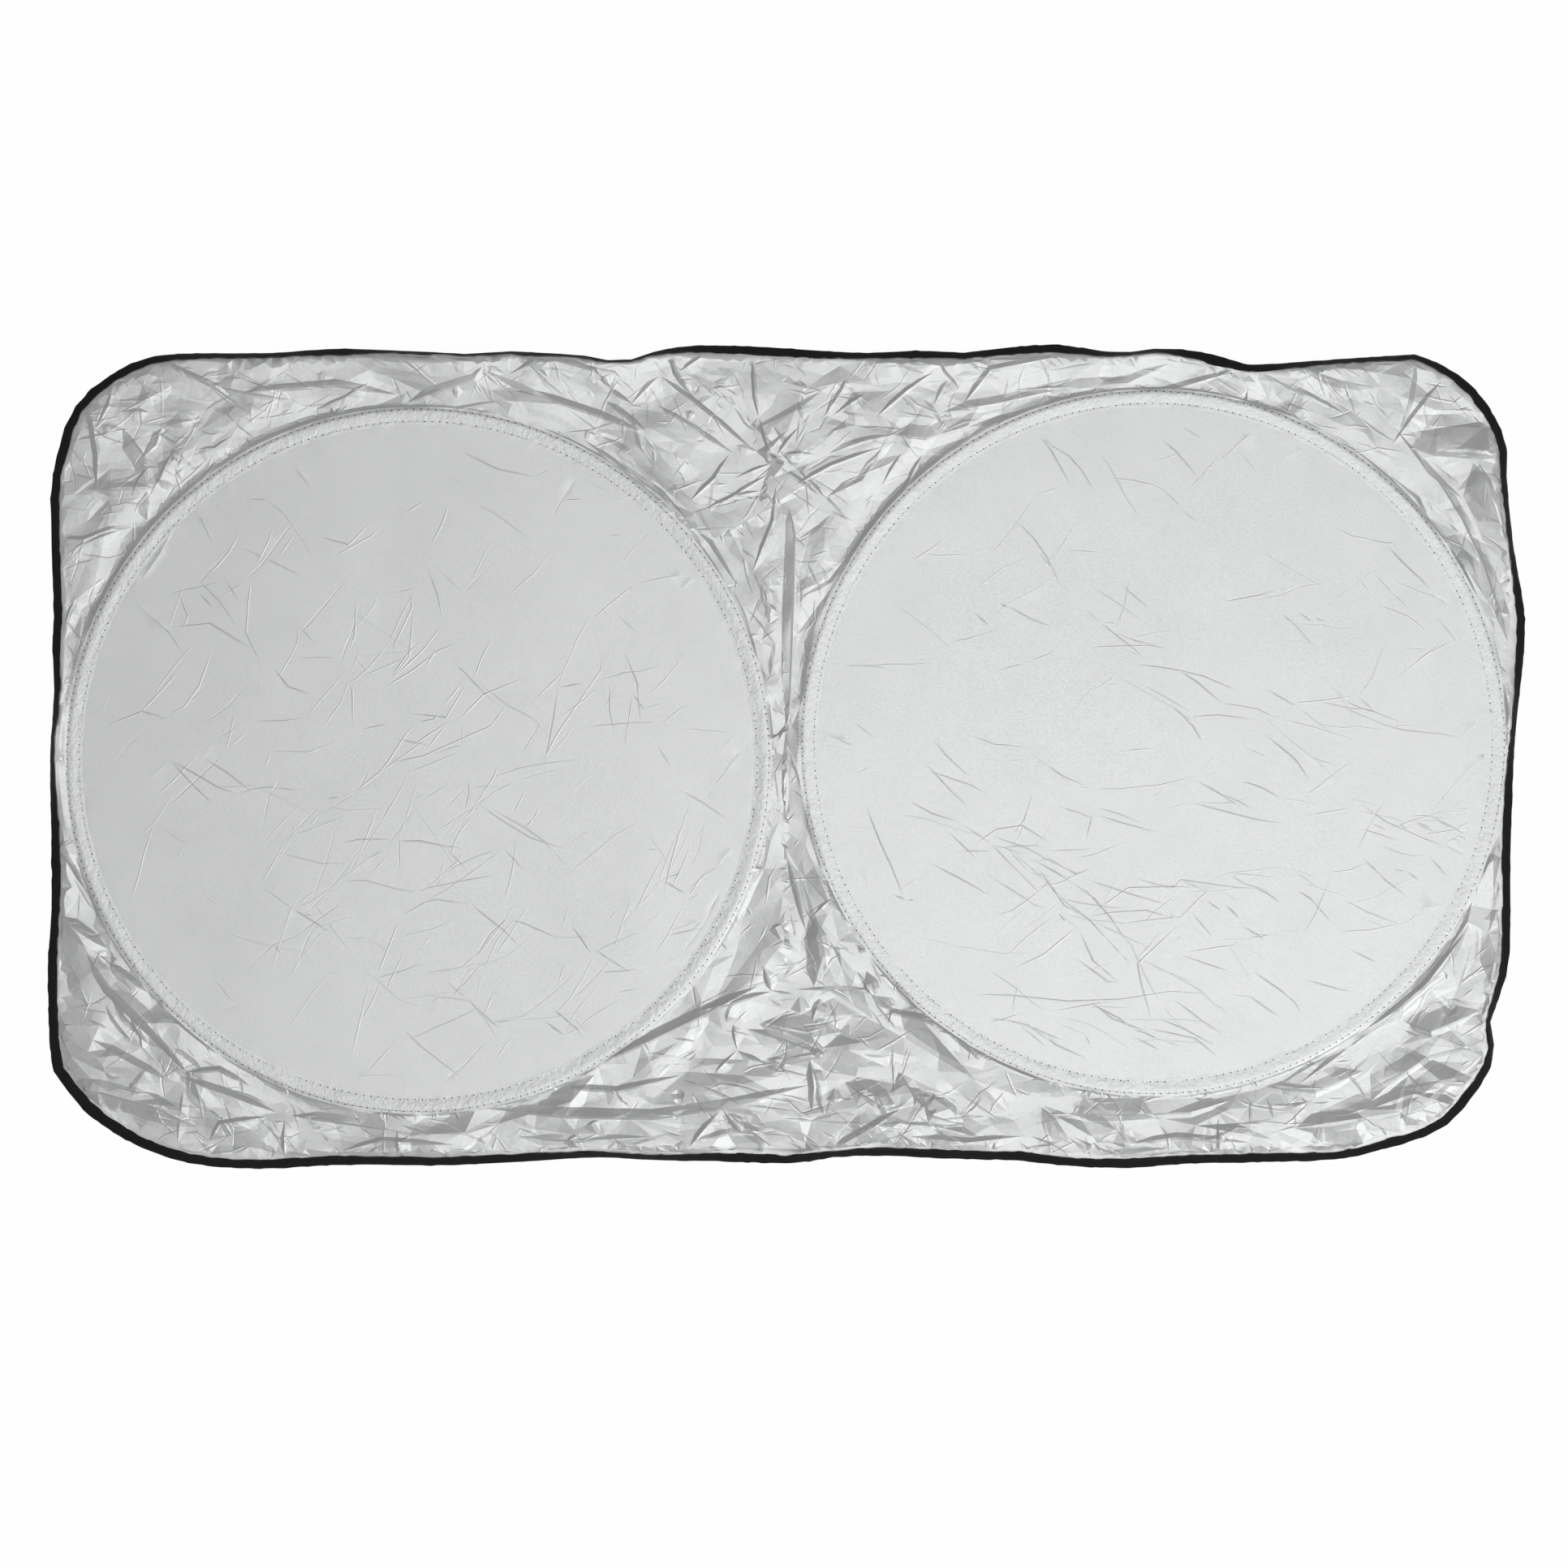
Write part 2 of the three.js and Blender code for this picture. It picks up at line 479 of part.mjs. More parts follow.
// Stations round the edge, each with the plan direction inwards and the roll of the tape
function edgeStations() {
  const listed = outlinePoints();
  const path = new THREE.CatmullRomCurve3(
    listed.map(({ plan }) => new THREE.Vector3(plan[0], plan[1], 0)),
    true,
    "centripetal",
  );
  const traits = new THREE.CatmullRomCurve3(
    listed.map(({ shown, lift }) => new THREE.Vector3(shown, lift, 0)),
    true,
    "catmullrom",
    TRAIT_TENSION,
  );
  path.arcLengthDivisions = PATH_DIVISIONS;
  const stations = [];
  for (let i = 0; i < TAPE_STATIONS; i++) {
    const t = path.getUtoTmapping(i / TAPE_STATIONS);
    const tangent = path.getTangent(t);
    const trait = traits.getPoint(t);
    stations.push({
      place: path.getPoint(t),
      inward: new THREE.Vector3(-tangent.y, tangent.x, 0).normalize(),
      shown: Math.max(trait.x, TAPE_WIDTH * LEAST_SHOWN),
      lift: Math.max(trait.y, 0),
    });
  }
  for (const trait of ["shown", "lift"]) {
    const raw = stations.map((station) => station[trait]);
    stations.forEach((station, i) => {
      const before = raw[(i + TAPE_STATIONS - 1) % TAPE_STATIONS];
      const after = raw[(i + 1) % TAPE_STATIONS];
      station[trait] = TRAIT_HOLD * raw[i] + ((1 - TRAIT_HOLD) * (before + after)) / 2;
    });
  }
  const box = new THREE.Box3().setFromPoints(stations.map(({ place }) => place));
  const size = box.getSize(new THREE.Vector3());
  const middle = box.getCenter(new THREE.Vector3());
  for (const station of stations) {
    const { place, inward, shown } = station;
    place.sub(middle).multiply(new THREE.Vector3(length / size.x, width / size.y, 1));
    const lip = place.clone().addScaledVector(inward, shown);
    const room = distanceToCasing(lip.x, lip.y) - EDGE_CLEARANCE;
    if (room < 0) place.addScaledVector(inward, room);
    rollStation(station);
  }
  return stations;
}

// The tape's section at a station: along runs from its fold to its lip, across is its thickness.
// Where the tape looks narrow from above, it stands up by the roll that makes it so.
function rollStation(station) {
  const { place, inward, shown } = station;
  const roll = Math.acos(Math.min(shown / TAPE_WIDTH, 1));
  const halfTape = tapeThickness / 2;
  station.tapeWidth = Math.max(TAPE_WIDTH, shown);
  station.along = inward.clone().multiplyScalar(Math.cos(roll)).addScaledVector(up, Math.sin(roll));
  station.across = up.clone().multiplyScalar(Math.cos(roll)).addScaledVector(inward, -Math.sin(roll));
  const lip = place.clone().addScaledVector(inward, shown);
  const lipHeight = station.lift + halfTape * Math.cos(roll) + station.tapeWidth * Math.sin(roll);
  const nearCasing = 1 - smooth((distanceToCasing(lip.x, lip.y) - HOOP_SLOPE / 2) / HOOP_SLOPE);
  const lift = station.lift + Math.max(discHeight * nearCasing - lipHeight, 0);
  station.fold = place
    .clone()
    .addScaledVector(inward, halfTape * Math.sin(roll))
    .addScaledVector(up, lift + halfTape * Math.cos(roll));
}

function atSection(station, along, across) {
  return station.fold
    .clone()
    .addScaledVector(station.along, along)
    .addScaledVector(station.across, across);
}

const slotWidth = SHEET_THICKNESS + 2 * SEAT;
const tapeThickness = slotWidth + 2 * TAPE_WALL;
const stations = edgeStations();
const tapeLip = stations.map((s) => atSection(s, s.tapeWidth + 2 * SEAT, 0));

// Nearest point of the ring where the sheet leaves the tape: its distance and height
function nearestLip(x, y) {
  let best = { distance: Infinity, height: 0 };
  tapeLip.forEach((a, i) => {
    const b = tapeLip[(i + 1) % tapeLip.length];
    const dx = b.x - a.x;
    const dy = b.y - a.y;
    const share = THREE.MathUtils.clamp(((x - a.x) * dx + (y - a.y) * dy) / (dx * dx + dy * dy), 0, 1);
    const distance = Math.hypot(x - a.x - share * dx, y - a.y - share * dy);
    if (distance < best.distance) best = { distance, height: THREE.MathUtils.lerp(a.z, b.z, share) };
  });
  return best;
}

function insideLip(x, y) {
  let inside = false;
  tapeLip.forEach((a, i) => {
    const b = tapeLip[(i + 1) % tapeLip.length];
    if (a.y > y !== b.y > y && x < ((b.x - a.x) * (y - a.y)) / (b.y - a.y) + a.x) inside = !inside;
  });
  return inside;
}

// Creases as polylines in millimetres
const creases = CREASES.map(({ crest, ...flanks }) => ({
  ...flanks,
  path: crest.map(([u, v]) => new THREE.Vector2((u * length) / 2, (v * width) / 2)),
}));

// Height that one crease gives at a plan point: a ridge with two flat flanks that fades at its ends
function creaseHeight(crease, x, y) {
  const { path, rise, upper, lower } = crease;
  const lengths = path.slice(1).map((p, i) => p.distanceTo(path[i]));
  const total = lengths.reduce((sum, part) => sum + part, 0);
  let passed = 0;
  let height = 0;
  lengths.forEach((part, i) => {
    const a = path[i];
    const b = path[i + 1];
    const share = THREE.MathUtils.clamp(
      ((x - a.x) * (b.x - a.x) + (y - a.y) * (b.y - a.y)) / (part * part),
      0,
      1,
    );
    const offX = x - a.x - share * (b.x - a.x);
    const offY = y - a.y - share * (b.y - a.y);
    const flank = offX - offY > 0 ? lower : upper;
    const run = (passed + share * part) / total;
    const fade = Math.sin(Math.PI * (END_FADE + (1 - 2 * END_FADE) * run));
    const cover = Math.max(1 - Math.hypot(offX, offY) / flank, 0);
    height = Math.max(height, rise * fade * cover);
    passed += part;
  });
  return height;
}

// Soft waves under the creases, from crossing sines
function swell(x, y) {
  const turn = (2 * Math.PI) / SWELL_LENGTH;
  return SWELLS.reduce(
    (sum, w) => sum + w.height * Math.sin(turn * (w.across * x + w.up * y) + w.phase),
    SWELL_LIFT,
  );
}

// Height of the middle of the sheet at a plan point between the hoops and the edge tape
function slackHeight(x, y, jitter) {
  const raised = creases.reduce((sum, crease) => sum + creaseHeight(crease, x, y), 0);
  const held = MOST_RISE * Math.tanh(raised / MOST_RISE);
  const free = SHEET_THICKNESS / 2 + SHEET_CLEARANCE + swell(x, y) + held + CRUMPLE * jitter;
  const lip = nearestLip(x, y);
  const casing = distanceToCasing(x, y);
  const overHoop = THREE.MathUtils.lerp(discHeight, free, smooth(casing / HOOP_SLOPE));
  return THREE.MathUtils.lerp(lip.height, overHoop, smooth(lip.distance / EDGE_SLOPE));
}

// Points of the sheet inside the tape's lip, closest together where the cloth is slack
function sheetPoints() {
  const random = seededRandom(SHEET_SEED);
  const scattered = (cell, jitter) => cell * (0.5 + jitter * (random() - 0.5));
  const points = [...tapeLip];
  const slackEdge = casingOuter + SEAT + SHEET_THICKNESS;
  const discEdge = casingInner - SEAT - SHEET_THICKNESS;
  const spacedFrom = (x, y, least) =>
    points.every((p) => Math.abs(p.x - x) > least || Math.hypot(p.x - x, p.y - y) > least);
  for (const centre of hoopCentres) {
    const rings = [
      { radius: slackEdge, step: CELL, room: LEAST_SPACING },
      { radius: discEdge, step: 2 * CELL, room: 2 * LEAST_SPACING },
    ];
    for (const { radius, step, room } of rings) {
      const count = Math.ceil((2 * Math.PI * radius) / step);
      for (let i = 0; i < count; i++) {
        const angle = (2 * Math.PI * i) / count;
        const x = centre.x + radius * Math.cos(angle);
        const y = centre.y + radius * Math.sin(angle);
        if (insideLip(x, y) && nearestLip(x, y).distance > room) {
          points.push(new THREE.Vector3(x, y, discHeight));
        }
      }
    }
    for (let x = -discEdge; x < discEdge; x += DISC_CELL) {
      for (let y = -discEdge; y < discEdge; y += DISC_CELL) {
        const px = x + scattered(DISC_CELL, DISC_JITTER);
        const py = y + scattered(DISC_CELL, DISC_JITTER);
        const reach = Math.hypot(px, py) / discEdge;
        if (reach > 1 - (DISC_ROOM * DISC_CELL) / discEdge) continue;
        const z = discHeight - DISC_SAG * (1 - reach * reach);
        points.push(new THREE.Vector3(centre.x + px, centre.y + py, z));
      }
    }
  }
  const addSlack = (x, y, least, jitter) => {
    if (distanceToCasing(x, y) < CELL / 2 + SEAT + SHEET_THICKNESS) return;
    if (!insideLip(x, y) || nearestLip(x, y).distance < LEAST_SPACING) return;
    if (!spacedFrom(x, y, least)) return;
    const z = slackHeight(x, y, jitter);
    points.push(new THREE.Vector3(x, y, Math.max(z, SHEET_THICKNESS / 2 + SHEET_CLEARANCE)));
  };
  const crests = creases.map(({ path, upper, lower }) => {
    const curve = new THREE.CurvePath();
    path.slice(1).forEach((p, i) => curve.add(new THREE.LineCurve(path[i], p)));
    const steps = Math.max(Math.round(curve.getLength() / CREASE_STEP), 2);
    return curve.getSpacedPoints(steps).map((p, i, all) => {
      const from = all[Math.max(i - 1, 0)];
      const to = all[Math.min(i + 1, all.length - 1)];
      const normal = new THREE.Vector2(from.y - to.y, to.x - from.x).normalize();
      if (normal.x < normal.y) normal.negate();
      return { p, normal, upper, lower };
    });
  });
  crests.flat().forEach(({ p }) => addSlack(p.x, p.y, LEAST_SPACING, 0));
  crests.flat().forEach(({ p, normal, upper, lower }) => {
    addSlack(p.x + normal.x * lower, p.y + normal.y * lower, LEAST_SPACING, 0);
    addSlack(p.x - normal.x * upper, p.y - normal.y * upper, LEAST_SPACING, 0);
  });
  for (let x = -length / 2; x < length / 2; x += CELL) {
    for (let y = -width / 2; y < width / 2; y += CELL) {
      const px = x + scattered(CELL, CELL_JITTER);
      const py = y + scattered(CELL, CELL_JITTER);
      addSlack(px, py, CELL * CELL_ROOM, 2 * random() - 1);
    }
  }
  return points;
}

// Plan triangulation in which no point lies inside another triangle's circle
function triangulate(points) {
  const random = seededRandom(PLAN_SEED);
  const nudge = 1e-3;
  const far = 20 * length;
  const plan = points.map((p) => [p.x + nudge * random(), p.y + nudge * random()]);
  plan.push([-far, -far], [far, -far], [0, far]);
  const triangle = (a, b, c) => {
    const [ax, ay] = plan[a];
    const bx = plan[b][0] - ax;
    const by = plan[b][1] - ay;
    const cx = plan[c][0] - ax;
    const cy = plan[c][1] - ay;
    const twice = 2 * (bx * cy - by * cx);
    const x = (cy * (bx * bx + by * by) - by * (cx * cx + cy * cy)) / twice;
    const y = (bx * (cx * cx + cy * cy) - cx * (bx * bx + by * by)) / twice;
    return { corners: [a, b, c], x: ax + x, y: ay + y, reach: x * x + y * y };
  };
  const count = points.length;
  let triangles = [triangle(count, count + 1, count + 2)];
  for (let i = 0; i < count; i++) {
    const [x, y] = plan[i];
    const open = new Map();
    triangles = triangles.filter((t) => {
      if ((x - t.x) ** 2 + (y - t.y) ** 2 >= t.reach) return true;
      t.corners.forEach((from, k) => {
        const to = t.corners[(k + 1) % 3];
        if (!open.delete(to + "," + from)) open.set(from + "," + to, [from, to]);
      });
      return false;
    });
    for (const [from, to] of open.values()) triangles.push(triangle(from, to, i));
  }
  return triangles.map((t) => t.corners).filter((corners) => corners.every((k) => k < count));
}

// The sheet: a middle surface given its thickness along its own normals, closed in the tape's slot
function sheetGeometry() {
  const points = sheetPoints();
  const inside = (a, b, c) =>
    insideLip(
      (points[a].x + points[b].x + points[c].x) / 3,
      (points[a].y + points[b].y + points[c].y) / 3,
    );
  const faces = triangulate(points).filter(([a, b, c]) => inside(a, b, c));
  const ring = tapeLip.length;
  const hem = points.length;
  stations.forEach((station, i) => {
    const next = (i + 1) % ring;
    points.push(atSection(station, TAPE_WALL + SEAT, 0));
    faces.push([hem + i, hem + next, next], [hem + i, next, i]);
  });
  const normals = points.map(() => new THREE.Vector3());
  const edge1 = new THREE.Vector3();
  const edge2 = new THREE.Vector3();
  for (const [a, b, c] of faces) {
    edge1.subVectors(points[b], points[a]);
    edge2.subVectors(points[c], points[a]);
    const normal = edge1.clone().cross(edge2).normalize();
    for (const k of [a, b, c]) normals[k].add(normal);
  }
  stations.forEach((station, i) => {
    normals[i].copy(station.across);
    normals[hem + i].copy(station.across);
  });
  const total = points.length;
  const positions = new Float32Array(total * 6);
  points.forEach((point, i) => {
    const half = normals[i].normalize().multiplyScalar(SHEET_THICKNESS / 2);
    point.clone().add(half).toArray(positions, 3 * i);
    point.clone().sub(half).toArray(positions, 3 * (total + i));
  });
  const index = faces.flatMap(([a, b, c]) => [a, b, c, total + a, total + c, total + b]);
  for (let i = 0; i < ring; i++) {
    const a = hem + i;
    const b = hem + ((i + 1) % ring);
    index.push(b, a, total + a, b, total + a, total + b);
  }
  const geometry = new THREE.BufferGeometry();
  geometry.setAttribute("position", new THREE.BufferAttribute(positions, 3));
  geometry.setIndex(index);
  geometry.computeVertexNormals();
  return geometry;
}

// The edge tape: a U section, with a slot for the sheet, lofted through the stations
function bindingGeometry() {
  const halfTape = tapeThickness / 2;
  const halfSlot = slotWidth / 2;
  const sections = stations.map((station) => {
    const lip = station.tapeWidth;
    return [
      [lip, -halfTape],
      [0, -halfTape],
      [0, halfTape],
      [lip, halfTape],
      [lip, halfSlot],
      [TAPE_WALL, halfSlot],
      [TAPE_WALL, -halfSlot],
      [lip, -halfSlot],
    ].map(([along, across]) => atSection(station, along, across));
  });
  const sides = sections[0].length;
  const index = [];
  for (let i = 0; i < sections.length; i++) {
    const here = i * sides;
    const next = ((i + 1) % sections.length) * sides;
    for (let k = 0; k < sides; k++) {
      const turn = (k + 1) % sides;
      const fromLip = k % (sides / 2) === 0; // a wall that ends at the lip is split the other way
      const [a, b, c, d] = [here + k, next + k, next + turn, here + turn];
      if (fromLip) index.push(a, b, d, b, c, d);
      else index.push(a, b, c, a, c, d);
    }
  }
  const geometry = new THREE.BufferGeometry().setFromPoints(sections.flat());
  geometry.setIndex(index);
  geometry.computeVertexNormals();
  return geometry;
}

// A part of a flat ring with square edges, from one angle to another
function ringSector(inner, outer, from, to, steps, bottom, height) {
  const shape = new THREE.Shape();
  shape.absarc(0, 0, outer, from, to, false);
  shape.absarc(0, 0, inner, to, from, true);
  const geometry = new THREE.ExtrudeGeometry(shape, {
    depth: height,
    bevelEnabled: false,
    curveSegments: steps / 2,
  });
  return geometry.translate(0, 0, bottom);
}

function toSolid(wasm, geometry) {
  const bare = geometry.clone();
  bare.deleteAttribute("normal");
  bare.deleteAttribute("uv");
  const merged = mergeVertices(bare, WELD);
  return new wasm.Manifold(
    new wasm.Mesh({
      numProp: 3,
      vertProperties: merged.attributes.position.array,
      triVerts: new Uint32Array(merged.index.array),
    }),
  );
}

function fromSolid(solid) {
  const mesh = solid.getMesh();
  const geometry = new THREE.BufferGeometry();
  geometry.setAttribute("position", new THREE.BufferAttribute(mesh.vertProperties, 3));
  geometry.setIndex(new THREE.BufferAttribute(mesh.triVerts, 1));
  geometry.computeVertexNormals();
  return geometry;
}

// The sprung band, open at the butted ends
function bandGeometry() {
  const half = BUTT_GAP / 2 / hoopRadius;
  const inner = hoopRadius - BAND_THICKNESS / 2;
  const outer = hoopRadius + BAND_THICKNESS / 2;
  return ringSector(inner, outer, half, 2 * Math.PI - half, BAND_STEPS, bandBottom, BAND_HEIGHT);
}

// The crimped sleeve over the butted ends, bent in the same facets as the band
function sleeveGeometry(wasm) {
  const step = (2 * Math.PI) / BAND_STEPS;
  const reach = (SLEEVE_STEPS / 2) * step;
  const halfBore = BAND_THICKNESS / 2 + SEAT;
  const halfBody = halfBore + SLEEVE_WALL;
  const body = ringSector(
    hoopRadius - halfBody,
    hoopRadius + halfBody,
    -reach,
    reach,
    SLEEVE_STEPS,
    sleeveBottom,
    sleeveTop - sleeveBottom,
  );
  const bore = ringSector(
    hoopRadius - halfBore,
    hoopRadius + halfBore,
    -2 * reach,
    2 * reach,
    2 * SLEEVE_STEPS,
    bandBottom - SEAT,
    BAND_HEIGHT + 2 * SEAT,
  );
  return fromSolid(toSolid(wasm, body).subtract(toSolid(wasm, bore)));
}

// The casing: a trough round the band, between two flanges that lie under the sheet
function casingGeometry() {
  const halfFloor = TROUGH_WIDTH / 2 - TROUGH_SLANT;
  const halfMouth = TROUGH_WIDTH / 2;
  const wall = CASING_WALL;
  const profile = [
    [CASING_WIDTH / 2, casingTop],
    [halfMouth, casingTop],
    [halfFloor, wall],
    [-halfFloor, wall],
    [-halfMouth, casingTop],
    [-CASING_WIDTH / 2, casingTop],
    [-CASING_WIDTH / 2, casingTop - wall],
    [-halfMouth - wall, casingTop - wall],
    [-halfFloor - wall, 0],
    [halfFloor + wall, 0],
    [halfMouth + wall, casingTop - wall],
    [CASING_WIDTH / 2, casingTop - wall],
    [CASING_WIDTH / 2, casingTop],
  ];
  const points = profile.map(([r, z]) => new THREE.Vector2(hoopRadius + r, z));
  return new THREE.LatheGeometry(points, CASING_STEPS).rotateX(Math.PI / 2);
}

function makeMesh(name, geometry, look) {
  const mesh = new THREE.Mesh(geometry, new THREE.MeshStandardMaterial(look));
  mesh.name = name;
  return mesh;
}

const wasm = await Module();
wasm.setup();

// Each hoop's butted ends and sleeve are at the outer end of the shade
function hoopGroup(side, centre, turn) {
  const group = new THREE.Group();
  group.add(
    makeMesh(side + "_hoop", bandGeometry(), STEEL),
    makeMesh(side + "_hoop_sleeve", sleeveGeometry(wasm), STEEL),
    makeMesh(side + "_hoop_casing", casingGeometry(), GREY_TAPE),
  );
  group.position.set(centre.x, centre.y, 0);
  group.rotation.z = turn;
  return group;
}

const sunshade = new THREE.Group();
sunshade.add(
  makeMesh("shade_sheet", sheetGeometry(), SILVER),
  makeMesh("edge_binding", bindingGeometry(), BLACK_TAPE),
  hoopGroup("left", hoopCentres[0], Math.PI),
  hoopGroup("right", hoopCentres[1], 0),
);

export default sunshade;
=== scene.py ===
"""Cloth, tape, thread and steel for the windscreen sunshade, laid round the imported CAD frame.

Plan sizes and heights are worked out in millimetres, and every mesh is made in metres.
"""

import logging
import math
from collections.abc import Callable, Mapping, Sequence
from dataclasses import dataclass, replace
from enum import Enum
from functools import cached_property

import bmesh
import bpy
import numpy as np
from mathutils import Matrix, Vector, geometry


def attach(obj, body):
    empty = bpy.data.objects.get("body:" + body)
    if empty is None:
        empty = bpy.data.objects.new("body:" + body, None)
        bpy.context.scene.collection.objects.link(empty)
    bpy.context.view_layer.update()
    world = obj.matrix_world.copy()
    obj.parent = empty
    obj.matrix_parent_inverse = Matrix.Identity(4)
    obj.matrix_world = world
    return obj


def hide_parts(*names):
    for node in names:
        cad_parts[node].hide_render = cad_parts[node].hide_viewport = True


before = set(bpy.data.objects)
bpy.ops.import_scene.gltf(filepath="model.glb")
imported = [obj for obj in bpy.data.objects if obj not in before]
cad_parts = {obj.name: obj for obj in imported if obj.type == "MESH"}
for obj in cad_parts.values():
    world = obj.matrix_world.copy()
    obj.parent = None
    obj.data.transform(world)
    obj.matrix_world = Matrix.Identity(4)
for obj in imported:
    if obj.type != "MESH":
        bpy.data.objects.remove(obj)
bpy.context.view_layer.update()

LOG = logging.getLogger("sunshade")
MM = 0.001
BODY = "root"
Array = np.ndarray
Point = tuple[float, float]
Noise = tuple[float, int, float]
Colour = tuple[float, float, float]


class Slot(Enum):
    """Names of the record's material slots."""

    SILVER_CLOTH = "silver_cloth"
    BLACK_TAPE = "black_tape"
    GREY_TAPE = "grey_tape"


class Lay(Enum):
    """Which way the small facets of the slack cloth run."""

    ROUND_LEFT_HOOP = "round_left_hoop"
    ROUND_RIGHT_HOOP = "round_right_hoop"
    ALONG_EDGES = "along_edges"
    FROM_PUCKER = "from_pucker"


# Plan sizes, as the CAD source has them


@dataclass(frozen=True)
class ShadePlan:
    """Sizes of the shade in millimetres that its pieces share."""

    length: float = 1500.0
    width: float = 837.0
    hoop_radius: float = 350.0
    casing_width: float = 16.0
    sheet_thickness: float = 0.3
    tape_wall: float = 0.3
    seat: float = 0.3
    cloth_over_casing: float = 5.25
    disc_sag: float = 1.7
    seam_offset: float = 6.0
    tape_lap: float = 1.3
    left_centre: Point = (-373.6, -3.7)
    right_centre: Point = (371.9, 14.4)
    pucker: Point = (-14.0, 302.0)

    @property
    def casing_outer(self) -> float:
        """Radius of a casing's outer edge."""
        return self.hoop_radius + self.casing_width / 2

    @property
    def centres(self) -> tuple[Point, Point]:
        """Plan centres of the left and the right hoop."""
        return self.left_centre, self.right_centre

    def casing_distance(self, x: Array, y: Array) -> Array:
        """Distance from plan points to the nearest casing's outer edge, negative inside it."""
        spans = [np.hypot(x - cx, y - cy) for cx, cy in self.centres]
        return np.minimum(*spans) - self.casing_outer


def smooth(value: Array) -> Array:
    """Smoothstep of a value held between 0 and 1."""
    t = np.clip(value, 0.0, 1.0)
    return t * t * (3.0 - 2.0 * t)


def ring_lengths(ring: Array) -> Array:
    """Lengths of a closed ring's spans, the last one back to its first point."""
    return np.linalg.norm(np.roll(ring, -1, axis=0) - ring, axis=1)


def resampled_ring(ring: Array, step: float) -> Array:
    """Points at even steps round a closed ring.

    Args:
        ring: The ring's points, one row each.
        step: Wanted distance between points, in the ring's units.

    Returns:
        The new points, one row each.
    """
    spans = ring_lengths(ring)
    run = np.concatenate([[0.0], np.cumsum(spans)])
    closed = np.vstack([ring, ring[:1]])
    count = max(int(round(run[-1] / step)), 8)
    at = np.arange(count) * run[-1] / count
    return np.stack([np.interp(at, run, closed[:, k]) for k in range(ring.shape[1])], axis=1)


def wander(count: int, wavelength: float, random: np.random.Generator) -> Array:
    """Smooth random values round a closed ring, between about -1 and 1.

    Args:
        count: How many values.
        wavelength: Steps between the random values that the rest run through.
        random: Where the values come from.

    Returns:
        One value for each step.
    """
    knots = max(int(count / wavelength), 3)
    heights = random.uniform(-1.0, 1.0, knots + 1)
    heights[-1] = heights[0]
    at = np.linspace(0, knots, count, endpoint=False)
    low = at.astype(int)
    return heights[low] + (heights[low + 1] - heights[low]) * smooth(at - low)


def wavy(waves: Sequence[Point], count: int, random: np.random.Generator) -> Array:
    """Adds up smooth random values, for each wavelength and rise of the given waves."""
    return sum(rise * wander(count, wavelength, random) for wavelength, rise in waves)


def new_piece(name: str, points: Array, faces: Sequence[Sequence[int]]) -> bpy.types.Object:
    """A mesh object from points in millimetres.

    Args:
        name: The piece's name.
        points: One row for each vertex, in millimetres.
        faces: Vertex numbers of each face, anticlockwise from outside.

    Returns:
        The object, linked to the scene and shaded smooth.
    """
    mesh = bpy.data.meshes.new(name)
    mesh.from_pydata((points * MM).tolist(), [], faces)
    mesh.shade_smooth()
    piece = bpy.data.objects.new(name, mesh)
    bpy.context.scene.collection.objects.link(piece)
    return piece


def dress(piece: bpy.types.Object, material: bpy.types.Material) -> None:
    """Gives a finished piece its material and its body.

    Args:
        piece: The piece.
        material: Its only material.
    """
    piece.data.materials.clear()
    piece.data.materials.append(material)
    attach(piece, BODY)


def loft_faces(count: int, sides: int) -> list[tuple[int, int, int, int]]:
    """Faces of a closed tube whose points lie in rings of one closed section each.

    Args:
        count: How many sections there are.
        sides: How many points each section has.

    Returns:
        Four point numbers a face.
    """
    faces = []
    for i in range(count):
        here, onward = i * sides, (i + 1) % count * sides
        for k in range(sides):
            turn = (k + 1) % sides
            faces.append((here + k, here + turn, onward + turn, onward + k))
    return faces


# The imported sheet's edge, which the fine cloth and tape follow


